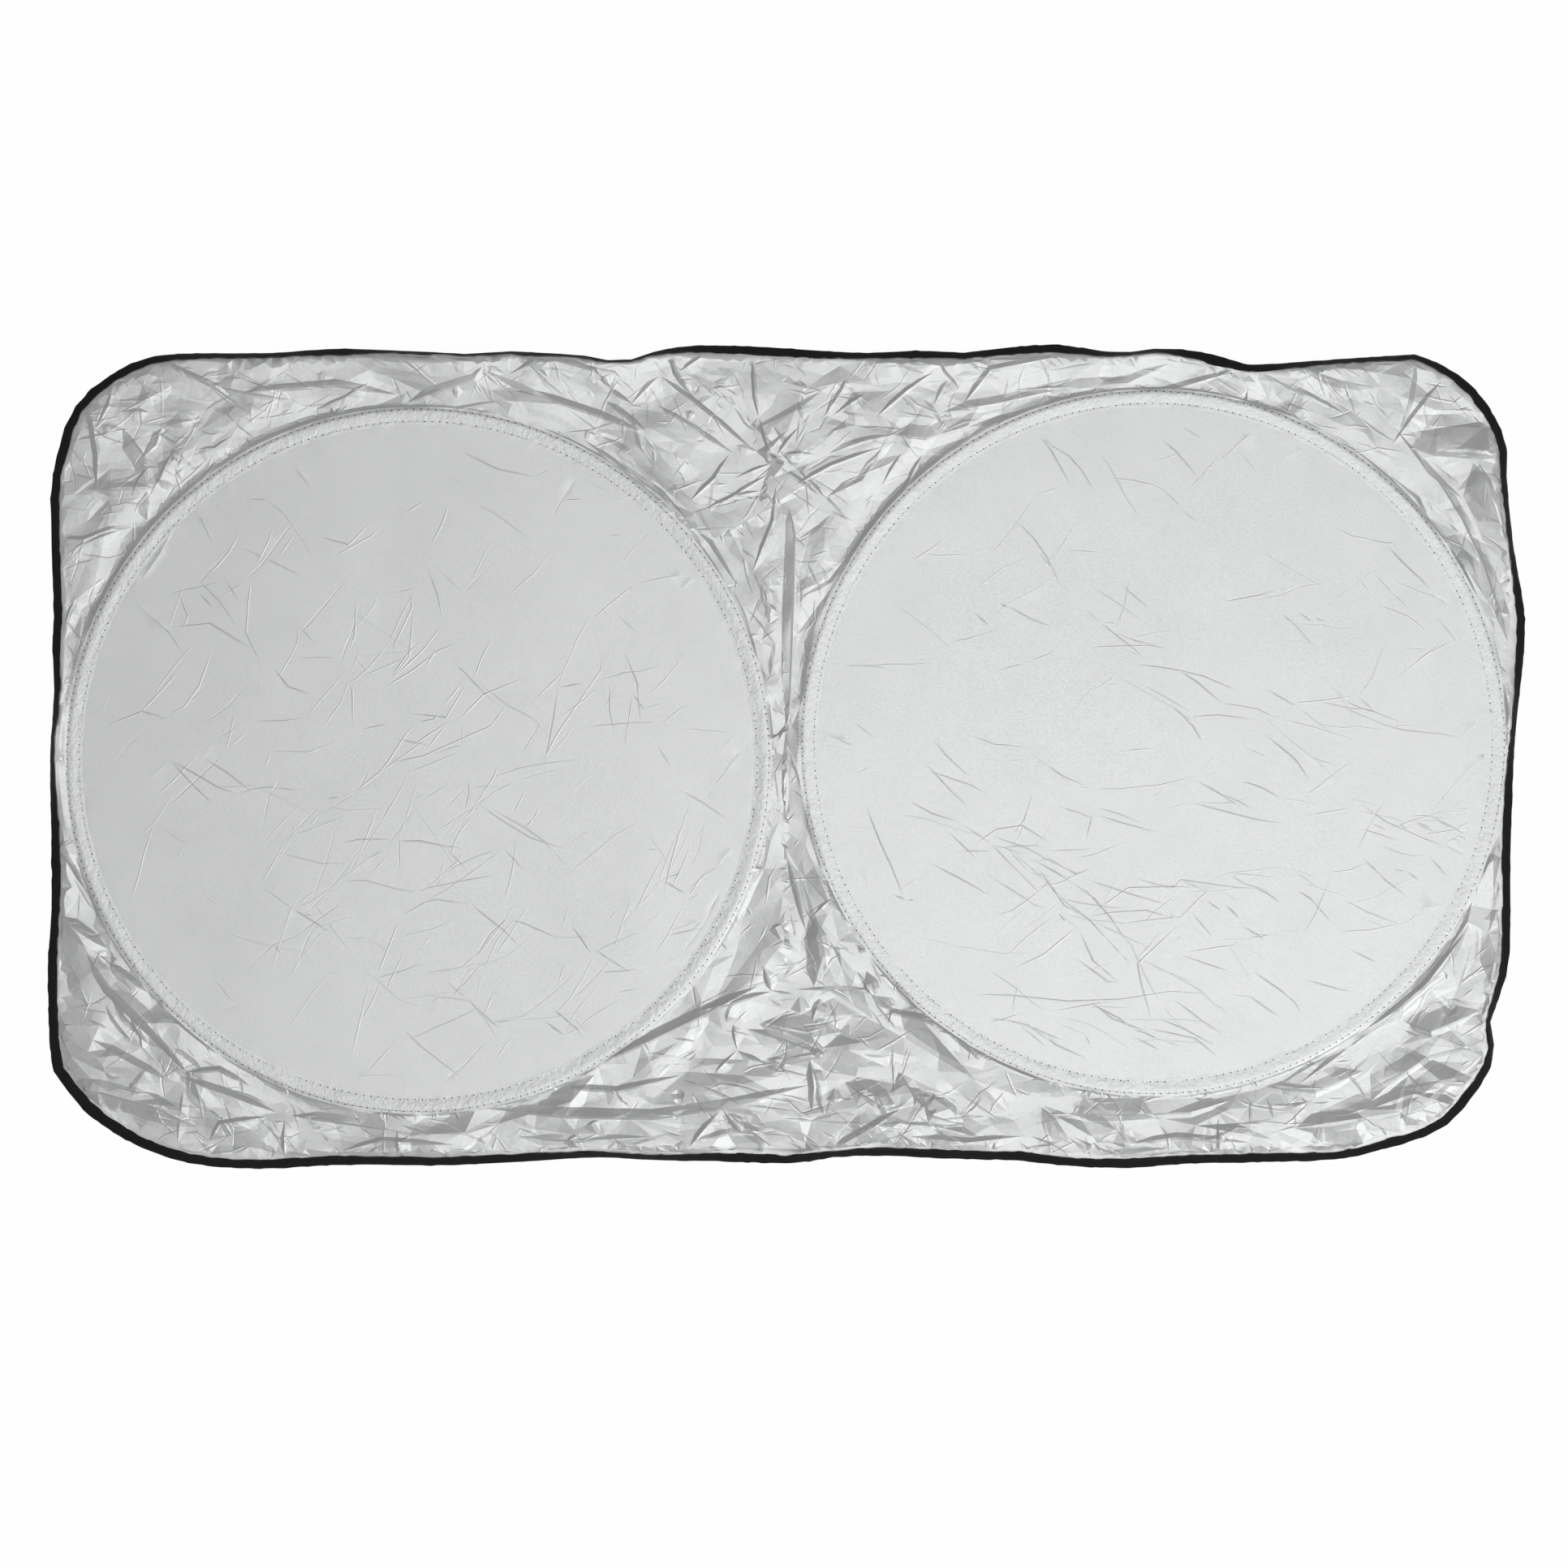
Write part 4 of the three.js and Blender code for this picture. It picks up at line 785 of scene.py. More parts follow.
@dataclass(frozen=True)
class ClothRelief:
    """The height of the whole cloth over its plan, in millimetres.

    lift holds three heights of the slack cloth: beside the casings at their upper left, beside
    them elsewhere, and away from them. A noise is a wavelength, a seed and a rise.
    """

    plan: ShadePlan
    edge: SheetEdge
    lift: tuple[float, float, float] = (1.9, 4.6, 5.6)
    lift_start: float = 9.0
    lift_run: float = 26.0
    steep_from: float = 0.74
    steep_run: float = 0.14
    hoop_slopes: tuple[float, float] = (5.0, 9.0)
    slack_start: float = 1.0
    slack_run: float = 4.0
    lip_run: float = 5.0
    edge_slope: float = 34.0
    edge_step: float = 1.3
    slant: float = 0.45
    slant_down: float = 1.3
    uneven: tuple[Noise, ...] = ((70.0, 41, 0.35),)
    calm: float = 0.3
    calm_reach: float = 0.8
    swell: float = 0.5
    swell_length: float = 95.0
    most_rise: float = 11.0
    least_height: float = 0.45
    soft_height: float = 1.0
    soft_dip: float = 0.5
    pucker_reach: float = 95.0
    pucker_core: float = 1.35
    hoop_lay_reach: float = 85.0
    hoop_lay_fade: float = 60.0
    tuck_reach: float = 11.0
    tuck_hold: float = 0.92
    tuck_over: float = 4.0
    tuck_fades: Point = (12.0, 20.0)
    rim_crown: float = 0.16
    rim_tilt: float = 0.8
    rim_groove: float = 0.7
    groove_off: float = 1.4
    rim_lumps: tuple[Noise, ...] = ((9.0, 31, 0.14), (4.5, 32, 0.16))
    lump_reach: float = 10.0
    seam_dip: float = 0.2
    seam_dip_width: float = 0.9
    disc_waves: tuple[Noise, ...] = ((120.0, 35, 0.5), (55.0, 36, 0.16))
    wave_fade: float = 60.0
    gathers: tuple[Noise, ...] = ((7.0, 33, 0.2), (13.0, 34, 0.2))
    gather_reach: float = 7.0
    crumples: tuple[Crumple, ...] = (
        Crumple(cell=38, stretch=2.2, rise=4.6, seed=11),
        Crumple(cell=19, stretch=1.9, rise=2.7, seed=12),
    )
    least_share: float = 0.35
    crease_clear: float = 2.0
    broad: Scatter = Scatter(150, 0.5, (0.8, 2.3), (2.5, 6.0), (6.0, 18.0))
    thin: Scatter = Scatter(960, 0.8, (0.3, 0.75), (0.9, 1.1), (1.6, 2.4))
    fold_seed: int = 51
    fold_clear: float = 3.0
    pucker_pull: float = 80.0
    hoop_pull: float = 55.0
    wrinkle: Scatter = Scatter(
        380, 0.2, (0.08, 0.24), (0.7, 0.8), (0.9, 1.3), steps=(9.0, 42.0), bend=0.16
    )
    wrinkle_seed: int = 61
    wrinkle_hubs: float = 0.45
    wrinkle_inset: float = 8.0
    wrinkle_shares: Point = (0.55, 0.45)
    wrinkle_slants: tuple[tuple[float, ...], ...] = (
        (0.75, 0.95, 0.5, 1.25, -0.7, 0.1),
        (0.1, -0.45, -0.5, -0.2, 0.8, -0.75),
    )
    seen_wrinkle: tuple[float, float, float] = (0.34, 0.9, 1.2)

    @cached_property
    def folds(self) -> list[Facets]:
        """The creases that were seen, and the small ones between them."""
        return [fold.facets() for fold in (*SEEN_FOLDS, *self.random_folds())]

    @cached_property
    def tuck(self) -> Facets:
        """The flat tuck that runs down the middle between the hoops."""
        return TUCK.facets()

    @cached_property
    def facets(self) -> list[tuple[Lay, Facets]]:
        """The random facets of every size and lay."""
        return [(lay, size.facets(lay, self.plan)) for size in self.crumples for lay in Lay]

    def noise(self, kinds: Sequence[Noise], x: Array, y: Array) -> Array:
        """Soft noises added up at plan points."""
        layers = ((rise, SoftNoise(length, seed, self.plan)) for length, seed, rise in kinds)
        return sum(rise * layer.at(x, y) for rise, layer in layers)

    def beside_tuck(self, x: Array, y: Array) -> Array:
        """How closely plan points lie beside the middle tuck.

        Args:
            x: The points' places across the plan.
            y: Their places up the plan.

        Returns:
            A share from 0 to 1 for each point.
        """
        bottom, top = TUCK.crest[-1][1], TUCK.crest[0][1]
        beside = np.exp(-((x / self.tuck_reach) ** 4))
        above, below = self.tuck_fades
        return beside * smooth((top + self.tuck_over - y) / above) * smooth((y - bottom) / below)

    def shares(self, x: Array, y: Array) -> dict[Lay, Array]:
        """How much of each lay there is at plan points.

        Args:
            x: The points' places across the plan.
            y: Their places up the plan.

        Returns:
            A share from 0 to 1 for each lay and point.
        """
        px, py = self.plan.pucker
        pucker = smooth(self.pucker_core - np.hypot(x - px, y - py) / self.pucker_reach)
        casing = self.plan.casing_distance(x, y)
        round_hoops = smooth((self.hoop_lay_reach - casing) / self.hoop_lay_fade) * (1 - pucker)
        left = (x < (self.plan.left_centre[0] + self.plan.right_centre[0]) / 2).astype(float)
        return {
            Lay.ROUND_LEFT_HOOP: round_hoops * left,
            Lay.ROUND_RIGHT_HOOP: round_hoops * (1 - left),
            Lay.FROM_PUCKER: pucker,
            Lay.ALONG_EDGES: 1 - round_hoops - pucker,
        }

    def slack(self, x: Array, y: Array) -> Array:
        """How slack the cloth is at plan points.

        Args:
            x: The points' places across the plan.
            y: Their places up the plan.

        Returns:
            A share from 0 on the discs to 1 for each point.
        """
        away, _ = self.lip_field(x, y)
        casing = self.plan.casing_distance(x, y)
        return smooth((casing + self.slack_start) / self.slack_run) * smooth(away / self.slack_run)

    def lip_field(self, x: Array, y: Array) -> tuple[Array, Array]:
        """Where plan points lie from the lip of the tape.

        Args:
            x: The points' places across the plan.
            y: Their places up the plan.

        Returns:
            Each point's distance to the lip, and the lip's height there.
        """
        near, height = np.full(len(x), 1e9), np.zeros(len(x))
        lip = self.edge.lip
        for a, b in zip(lip, np.roll(lip, -1, axis=0), strict=True):
            run = b[:2] - a[:2]
            share = np.clip(((x - a[0]) * run[0] + (y - a[1]) * run[1]) / (run @ run), 0, 1)
            away = np.hypot(x - a[0] - share * run[0], y - a[1] - share * run[1])
            closer = away < near
            near[closer] = away[closer]
            height[closer] = (a[2] + share * (b[2] - a[2]))[closer]
        return near, height

    def height(self, x: Array, y: Array) -> Array:
        """The cloth's height.

        Args:
            x: The places of plan points across the plan.
            y: Their places up the plan.

        Returns:
            One height for each point.
        """
        casing = self.plan.casing_distance(x, y)
        disc = casing < 0
        height = np.empty(len(x))
        height[disc] = self.disc(x[disc], y[disc])
        height[~disc] = self.slack_height(x[~disc], y[~disc])
        return np.maximum(height, self.least_height)

    def slack_height(self, x: Array, y: Array) -> Array:
        """The height of the cloth between the casings and the edge tape.

        Args:
            x: The places of plan points across the plan.
            y: Their places up the plan.

        Returns:
            One height for each point.
        """
        casing = self.plan.casing_distance(x, y)
        away, lip_height = self.lip_field(x, y)
        away = np.maximum(away - self.plan.tape_lap, 0.0)
        slack = smooth((casing + self.slack_start) / self.slack_run)
        slack = slack * smooth(away / self.lip_run)
        loose = 1.0 - self.tuck_hold * self.beside_tuck(x, y)
        raised = loose * sum(fold.at(x, y) for fold in self.folds) + self.tuck.at(x, y)
        held = self.most_rise * np.tanh(raised / self.most_rise)
        shares = self.shares(x, y)
        crumpled = np.zeros(len(x))
        for lay, facets in self.facets:
            some = np.flatnonzero(shares[lay] > 0)
            crumpled[some] += shares[lay][some] * facets.at(x[some], y[some])
        sunk, level, high = self.lift
        turned = smooth((self.up_left(x, y) - self.steep_from) / self.steep_run)
        near = level - (level - sunk) * turned
        base = near + (high - near) * smooth((casing - self.lift_start) / self.lift_run)
        base = base + self.swell_at(x, y)
        brink = lip_height + self.edge_step
        base = brink + (base - brink) * np.clip(away / self.edge_slope, 0, 1)
        slope = x / self.plan.length - self.slant_down * y / self.plan.width
        worn = 1.0 + self.slant * slope
        worn += self.noise(self.uneven, x, y)
        calm = 1.0 - self.calm * smooth(y / (self.calm_reach * self.plan.hoop_radius))
        free = base + slack * (held * calm + crumpled * worn * loose)
        soft = self.soft_height
        pressed = soft - self.soft_dip * (1 - np.exp(-(soft - free)))
        free = np.where(free > soft, free, pressed)
        rim = self.rim(x, y)
        flat, steep = self.hoop_slopes
        run = flat + (steep - flat) * turned
        height = rim + (free - rim) * smooth((casing + self.slack_start) / run)
        return lip_height + (height - lip_height) * smooth(away / self.lip_run)

    def up_left(self, x: Array, y: Array) -> Array:
        """How squarely plan points lie to the upper left of the nearer hoop.

        Args:
            x: The points' places across the plan.
            y: Their places up the plan.

        Returns:
            A value from -1 to 1 for each point.
        """
        ways = [((cx - x) + (y - cy), np.hypot(x - cx, y - cy)) for cx, cy in self.plan.centres]
        (left, left_span), (right, right_span) = ways
        nearer = left_span < right_span
        return np.where(nearer, left / left_span, right / right_span) / math.sqrt(2)

    def swell_at(self, x: Array, y: Array) -> Array:
        """Soft waves under the creases, from three crossing sines.

        Args:
            x: The places of plan points across the plan.
            y: Their places up the plan.

        Returns:
            One height for each point.
        """
        k = 2 * math.pi / self.swell_length
        waves = np.sin(k * (x + 0.45 * y) + 0.7) + np.sin(k * (0.62 * y - 0.5 * x) + 2.1)
        return self.swell * (waves + 0.6 * np.sin(k * 1.9 * (0.8 * x - y)))

    def rim(self, x: Array, y: Array) -> Array:
        """The cloth over a casing: a low crown between its two seams, drawn in at each seam.

        Args:
            x: The places of plan points across the plan.
            y: Their places up the plan.

        Returns:
            One height for each point.
        """
        left, right = (
            np.hypot(x - cx, y - cy) - self.plan.hoop_radius for cx, cy in self.plan.centres
        )
        out = np.where(np.abs(left) < np.abs(right), left, right)
        off, seam = np.abs(out), self.plan.seam_offset
        crown = self.rim_crown * np.maximum(1 - (off / seam) ** 2, 0)
        crown += self.rim_tilt * smooth((out + seam) / (2 * seam))
        dip = self.seam_dip * np.exp(-(((off - seam) / self.seam_dip_width) ** 2))
        dip += self.rim_groove * np.exp(-((out - seam - self.groove_off) ** 2))
        lumps = self.noise(self.rim_lumps, x, y) * np.clip(1 - off / self.lump_reach, 0, 1)
        return self.plan.cloth_over_casing + crown - dip + lumps

    def disc(self, x: Array, y: Array) -> Array:
        """A taut disc: a shallow dish with soft waves, gathered a little along its seam.

        Args:
            x: The places of plan points across the plan.
            y: Their places up the plan.

        Returns:
            One height for each point.
        """
        inner = self.plan.hoop_radius - self.plan.seam_offset
        radius = np.min([np.hypot(x - cx, y - cy) for cx, cy in self.plan.centres], axis=0)
        waves = self.noise(self.disc_waves, x, y) * smooth((inner - radius) / self.wave_fade)
        fade = np.exp(-np.abs(inner - radius) / self.gather_reach)
        gathers = self.noise(self.gathers, x, y) * fade
        dish = self.plan.disc_sag * (1 - np.clip(radius / inner, 0, 1) ** 2)
        pressed = sum(ridge.at(x, y) for ridge in self.wrinkles)
        return self.rim(x, y) + np.where(radius < inner, waves - dish + gathers + pressed, 0.0)

    def creases(self, step: float) -> Array:
        """The lines along which the cloth bends, in pieces no longer than a step.

        Args:
            step: Longest piece.

        Returns:
            Both plan ends of each piece, in an array of shape (pieces, 2, 2).
        """
        found = [fold.edges(step) for fold in (*self.folds, self.tuck)]
        for lay, facets in self.facets:
            pieces = facets.edges(step)
            middle = pieces.mean(axis=1)
            worn = self.shares(middle[:, 0], middle[:, 1])[lay] > self.least_share
            found.append(pieces[worn])
        pieces = np.vstack(found)
        pressed = np.vstack([ridge.edges(4 * step) for ridge in self.wrinkles])
        inside = np.ones(len(pieces), bool)
        for end in (0, 1):
            x, y = pieces[:, end, 0], pieces[:, end, 1]
            inside &= self.plan.casing_distance(x, y) > 0.0
            inside &= self.edge.holds(x, y) & (self.lip_field(x, y)[0] > self.crease_clear)
        return np.vstack([pieces[inside], pressed])

    def random_folds(self) -> list[Fold]:
        """Scatters broad and thin creases over the slack cloth, in the way that it runs.

        Returns:
            The creases, broad ones first.
        """
        random = np.random.default_rng(self.fold_seed)
        half_x, half_y = self.plan.length / 2, self.plan.width / 2
        folds = []
        while len(folds) < self.broad.count + self.thin.count:
            x, y = random.uniform(-half_x, half_x), random.uniform(-half_y, half_y)
            if self.plan.casing_distance(np.array(x), np.array(y)) < self.fold_clear:
                continue
            kind = self.broad if len(folds) < self.broad.count else self.thin
            heading = self.heading(x, y) + random.normal(0, kind.turn)
            crest = [(x, y)]
            for _ in range(random.integers(1, 3)):
                step = random.uniform(*kind.steps)
                x, y = x + step * math.cos(heading), y + step * math.sin(heading)
                heading += random.normal(0, kind.bend)
                crest.append((x, y))
            fold = kind.fold(random, crest)
            if kind is self.broad and x > 0.0:
                fold = replace(fold, upper=1.3 * fold.lower, lower=fold.upper)
            folds.append(fold)
        return folds

    @cached_property
    def wrinkles(self) -> list[Facets]:
        """The fine ridges of both discs: those that were seen, and more in the lower halves."""
        random = np.random.default_rng(self.wrinkle_seed)
        reach = self.plan.hoop_radius - self.plan.seam_offset - self.wrinkle_inset
        always, below = self.wrinkle_shares
        found = [Fold(*self.seen_wrinkle, line) for line in SEEN_WRINKLES]
        for (cx, cy), slants in zip(self.plan.centres, self.wrinkle_slants, strict=True):
            hubs: list[Point] = []
            for _ in range(self.wrinkle.count):
                angle, radius = random.uniform(0, 2 * math.pi), reach * math.sqrt(random.uniform())
                x, y = radius * math.cos(angle), radius * math.sin(angle)
                if random.uniform() > always + below * smooth(np.array(0.45 - y / reach)):
                    continue
                if hubs and random.uniform() < self.wrinkle_hubs:
                    x, y = hubs[random.integers(len(hubs))]
                heading = random.choice(slants) + random.normal(0, self.wrinkle.turn)
                crest = [(cx + x, cy + y)]
                for _ in range(random.integers(1, 4)):
                    step = random.uniform(*self.wrinkle.steps)
                    x, y = x + step * math.cos(heading), y + step * math.sin(heading)
                    if math.hypot(x, y) > reach:
                        break
                    heading += random.normal(0, self.wrinkle.bend)
                    crest.append((cx + x, cy + y))
                    hubs.append((x, y))
                if len(crest) > 1:
                    lit_along = 1 + 0.5 * abs(math.cos(heading + math.pi / 4))
                    found.append(self.wrinkle.fold(random, crest, lit_along))
        return [fold.facets() for fold in found]

    def heading(self, x: float, y: float) -> float:
        """Which way creases run.

        Args:
            x: A point's place across the plan.
            y: Its place up the plan.

        Returns:
            The angle in radians.
        """
        px, py = self.plan.pucker
        if math.hypot(x - px, y - py) < self.pucker_pull:
            return math.atan2(y - py, x - px)
        cx, cy = min(self.plan.centres, key=lambda c: math.hypot(x - c[0], y - c[1]))
        if math.hypot(x - cx, y - cy) < self.plan.casing_outer + self.hoop_pull:
            return math.atan2(y - cy, x - cx) + math.pi / 2
        return 0.0


@dataclass(frozen=True)
class ShadeCloth:
    """The silver sheet: slack and crumpled between the hoops and the edge, taut over the discs."""

    plan: ShadePlan
    edge: SheetEdge
    disc_cell: float = 15.0
    slack_cell: float = 13.0
    ring_step: float = 3.2
    rim_step: float = 4.0
    crease_step: float = 14.0
    rim_offsets: tuple[float, ...] = (
        -22, -14, -9.5, -7.2, -6, -4.8, -2.4, 0, 2.4, 4.8, 6, 7.2, 9, 11, 13.5, 17,
    )
    lip_clear: float = 1.5
    weld: float = 0.25
    sharp_angle: float = 4.0
    least_slackness: float = 0.05
    gather_fade: float = 4.0

    def build(self, relief: ClothRelief) -> bpy.types.Object:
        """Builds the sheet as one open skin.

        Args:
            relief: The cloth's heights.

        Returns:
            The sheet.
        """
        rings = [resampled_ring(r, self.ring_step) for r in (self.edge.hem, self.edge.lip)]
        loose = np.vstack([self.lattice(), self.rims()])
        clear = self.edge.holds(*loose.T) & (relief.lip_field(*loose.T)[0] > self.lip_clear)
        creases = relief.creases(self.crease_step)
        corners = np.vstack([*(r[:, :2] for r in rings), loose[clear], creases.reshape(-1, 2)])
        edges, start = [], 0
        for ring in rings:
            count = len(ring)
            edges += [(start + k, start + (k + 1) % count) for k in range(count)]
            start += count
        first = len(corners) - 2 * len(creases)
        edges += [(first + 2 * k, first + 2 * k + 1) for k in range(len(creases))]
        LOG.info("%d plan points, %d crease pieces", len(corners), len(creases))
        found = geometry.delaunay_2d_cdt(
            [Vector(p) for p in corners.tolist()], edges, [], 1, self.weld
        )
        plan_points = np.array([tuple(p) for p in found[0]])
        points = np.column_stack([plan_points, relief.height(*plan_points.T)])
        bound = np.vstack(rings)
        for k, origin in enumerate(found[3]):
            if origin and min(origin) < len(bound):
                points[k] = bound[min(origin)]
        sheet = new_piece("silver_sheet", points, found[2])
        self.mark(sheet, relief)
        return sheet

    def lattice(self) -> Array:
        """Lays triangular lattices over the discs and, closer, over the slack cloth.

        Returns:
            Plan points, one row each.
        """
        found = []
        for cell, taut in ((self.disc_cell, True), (self.slack_cell, False)):
            row = cell * math.sqrt(3) / 2
            half_x, half_y = self.plan.length / 2, self.plan.width / 2
            j, i = np.mgrid[: int(2 * half_y / row), : int(2 * half_x / cell)]
            x, y = (i + 0.5 * (j % 2)) * cell - half_x, j * row - half_y
            casing = self.plan.casing_distance(x, y)
            if taut:
                kept = casing < self.rim_offsets[0] - self.plan.casing_width / 2 - cell / 2
            else:
                kept = casing > self.rim_offsets[-1] - self.plan.casing_width / 2 + cell / 2
            found.append(np.stack([x[kept], y[kept]], axis=1))
        return np.vstack(found)

    def rims(self) -> Array:
        """Lays rings over the casings, closest together at their seams.

        Returns:
            Plan points, one row each.
        """
        found = []
        for (cx, cy), other in zip(self.plan.centres, reversed(self.plan.centres), strict=True):
            for number, offset in enumerate(self.rim_offsets):
                radius = self.plan.hoop_radius + offset
                count = int(2 * math.pi * radius / self.rim_step)
                turns = (np.arange(count) + 0.5 * (number % 2)) * 2 * math.pi / count
                x, y = cx + radius * np.cos(turns), cy + radius * np.sin(turns)
                nearer = np.hypot(x - other[0], y - other[1]) > radius + 1
                found.append(np.stack([x[nearer], y[nearer]], axis=1))
        return np.vstack(found)

    def mark(self, sheet: bpy.types.Object, relief: ClothRelief) -> None:
        """Marks sharp creases, and keeps how slack and how gathered the cloth is.

        Args:
            sheet: The sheet.
            relief: The cloth's heights.
        """
        mesh = sheet.data
        mesh.set_sharp_from_angle(angle=math.radians(self.sharp_angle))
        at = np.empty(len(mesh.vertices) * 3, np.float32)
        mesh.vertices.foreach_get("co", at)
        x, y, _ = (at.reshape(-1, 3) / MM).T
        casing = self.plan.casing_distance(x, y)
        seamed = np.abs(casing + self.plan.casing_width / 2)
        gathered = self.plan.seam_offset + self.gather_fade
        values = {
            "slackness": relief.slack(x, y),
            "gathers": smooth((gathered - seamed) / self.gather_fade),
        }
        for name, value in values.items():
            kept = mesh.attributes.new(name, "FLOAT", "POINT").data
            kept.foreach_set("value", value.astype(np.float32))
        ends = np.empty(len(mesh.edges) * 2, np.int32)
        mesh.edges.foreach_get("vertices", ends)
        sharp = np.empty(len(mesh.edges), bool)
        marks = mesh.attributes["sharp_edge"].data
        marks.foreach_get("value", sharp)
        inner = self.rim_offsets[1] - self.plan.casing_width
        crisp = (values["slackness"] > self.least_slackness) | (casing < inner)
        sharp &= crisp[ends].reshape(-1, 2).all(axis=1)
        marks.foreach_set("value", sharp)


@dataclass(frozen=True)
class EdgeBinding:
    """The black tape folded over the sheet's edge, lofted through the CAD's stations.

    ragged, kinked and lifted are the waves of its lips, its fold line and its thickness, each
    a wavelength in stations and a rise in millimetres.
    """

    plan: ShadePlan
    edge: SheetEdge
    parts: int = 5
    half_thickness: float = 0.75
    half_slot: float = 0.42
    stitch_inset: float = 1.6
    ragged: tuple[Point, ...] = ((1.5, 0.7), (7.0, 0.5))
    kinked: tuple[Point, ...] = ((1.3, 0.7), (5.0, 0.5))
    lifted: tuple[Point, ...] = ((2.2, 0.12), (6.0, 0.15))
    most_kink: float = 0.15
    seed: int = 71

    def stations(self) -> tuple[Array, Array, Array, Array]:
        """Fine stations round the edge.

        Returns:
            The fold line, the direction from it to the lip, the direction out of the tape's
            front, and the tape's width, station by station.
        """
        along = self.edge.lip - self.edge.hem
        width = np.linalg.norm(along, axis=1, keepdims=True)
        along = along / width
        fold = self.edge.hem - along * (self.plan.tape_wall + self.plan.seat)
        rows = np.hstack([fold, along, self.edge.across, width])
        shares = np.arange(self.parts)[None, :, None] / self.parts
        fine = rows[:, None] + (np.roll(rows, -1, axis=0) - rows)[:, None] * shares
        fine = fine.reshape(-1, rows.shape[1])
        fold, along, across, width = np.split(fine, [3, 6, 9], axis=1)
        along /= np.linalg.norm(along, axis=1, keepdims=True)
        across /= np.linalg.norm(across, axis=1, keepdims=True)
        return fold, along, across, width[:, 0]

    def build(self) -> bpy.types.Object:
        """Builds the tape, with a seam pressed along its lip and a slightly uneven edge.

        Returns:
            The tape.
        """
        random = np.random.default_rng(self.seed)
        fold, along, across, width = self.stations()
        count = len(fold)
        h, s, wall = self.half_thickness, self.half_slot, self.plan.tape_wall
        seam = self.stitch_inset
        front = [
            (1.0, 0.0, s), (1.0, 0.12, (s + h) / 2), (1.0, -0.12, h), (1.0, -seam + 0.7, h + 0.04),
            (1.0, -seam, h - 0.14), (1.0, -seam - 0.7, h + 0.05), (0.5, 0.0, h + 0.16),
            (0.0, 1.3, h + 0.04), (0.0, 0.35, h - 0.16),
        ]
        back = [(share, inset, -level) for share, inset, level in reversed(front)]
        slot = [(0.0, wall + 0.15, -0.6 * s), (0.0, wall, 0.0), (0.0, wall + 0.15, 0.6 * s)]
        profile = [*front, (0.0, 0.0, 0.0), *back, *slot]
        ragged, kinked, lifted = (
            wavy(waves, count, random) for waves in (self.ragged, self.kinked, self.lifted)
        )
        rows = []
        for share, inset, level in profile:
            out = share * (width + self.plan.tape_lap + ragged) + inset
            out += (1 - share) * np.minimum(kinked, self.most_kink)
            swollen = level + (lifted if abs(level) > h else 0.0)
            rows.append(fold + along * out[:, None] + across * np.reshape(swollen, (-1, 1)))
        points = np.stack(rows, axis=1).reshape(-1, 3)
        points[:, 2] = np.maximum(points[:, 2], 0.0)
        tape = new_piece("edge_tape", points, loft_faces(count, len(profile)))
        self.unwrap(tape, profile, fold, width)
        return tape

    def unwrap(
        self,
        tape: bpy.types.Object,
        profile: Sequence[tuple[float, float, float]],
        fold: Array,
        width: Array,
    ) -> None:
        """Gives the tape a UV map in metres: along the edge, and round its section.

        Args:
            tape: The tape, whose vertices are in stations of one profile each.
            profile: The section's points as share of the width, offset and level.
            fold: The fold line.
            width: The tape's width at each station.
        """
        count, sides = len(fold), len(profile)
        run = np.concatenate([[0.0], np.cumsum(ring_lengths(fold))]) * MM
        mean = float(width.mean())
        section = np.array([(share * mean + inset, level) for share, inset, level in profile])
        round_it = np.concatenate([[0.0], np.cumsum(ring_lengths(section))]) * MM
        layer = tape.data.uv_layers.new(name="UVMap").data
        for number, face in enumerate(tape.data.polygons):
            i, k = divmod(number, sides)
            corners = ((i, k), (i, k + 1), (i + 1, k + 1), (i + 1, k))
            for loop, (station, side) in zip(face.loop_indices, corners, strict=True):
                layer[loop].uv = (run[min(station, count)], round_it[side])

    def seam(self) -> tuple[Array, Array]:
        """The stitched line on the tape's front.

        Returns:
            Its points, and the direction out of the tape at each.
        """
        fold, along, across, width = self.stations()
        out = (width + self.plan.tape_lap - self.stitch_inset)[:, None]
        return fold + along * out + across * (self.half_thickness - 0.05), across


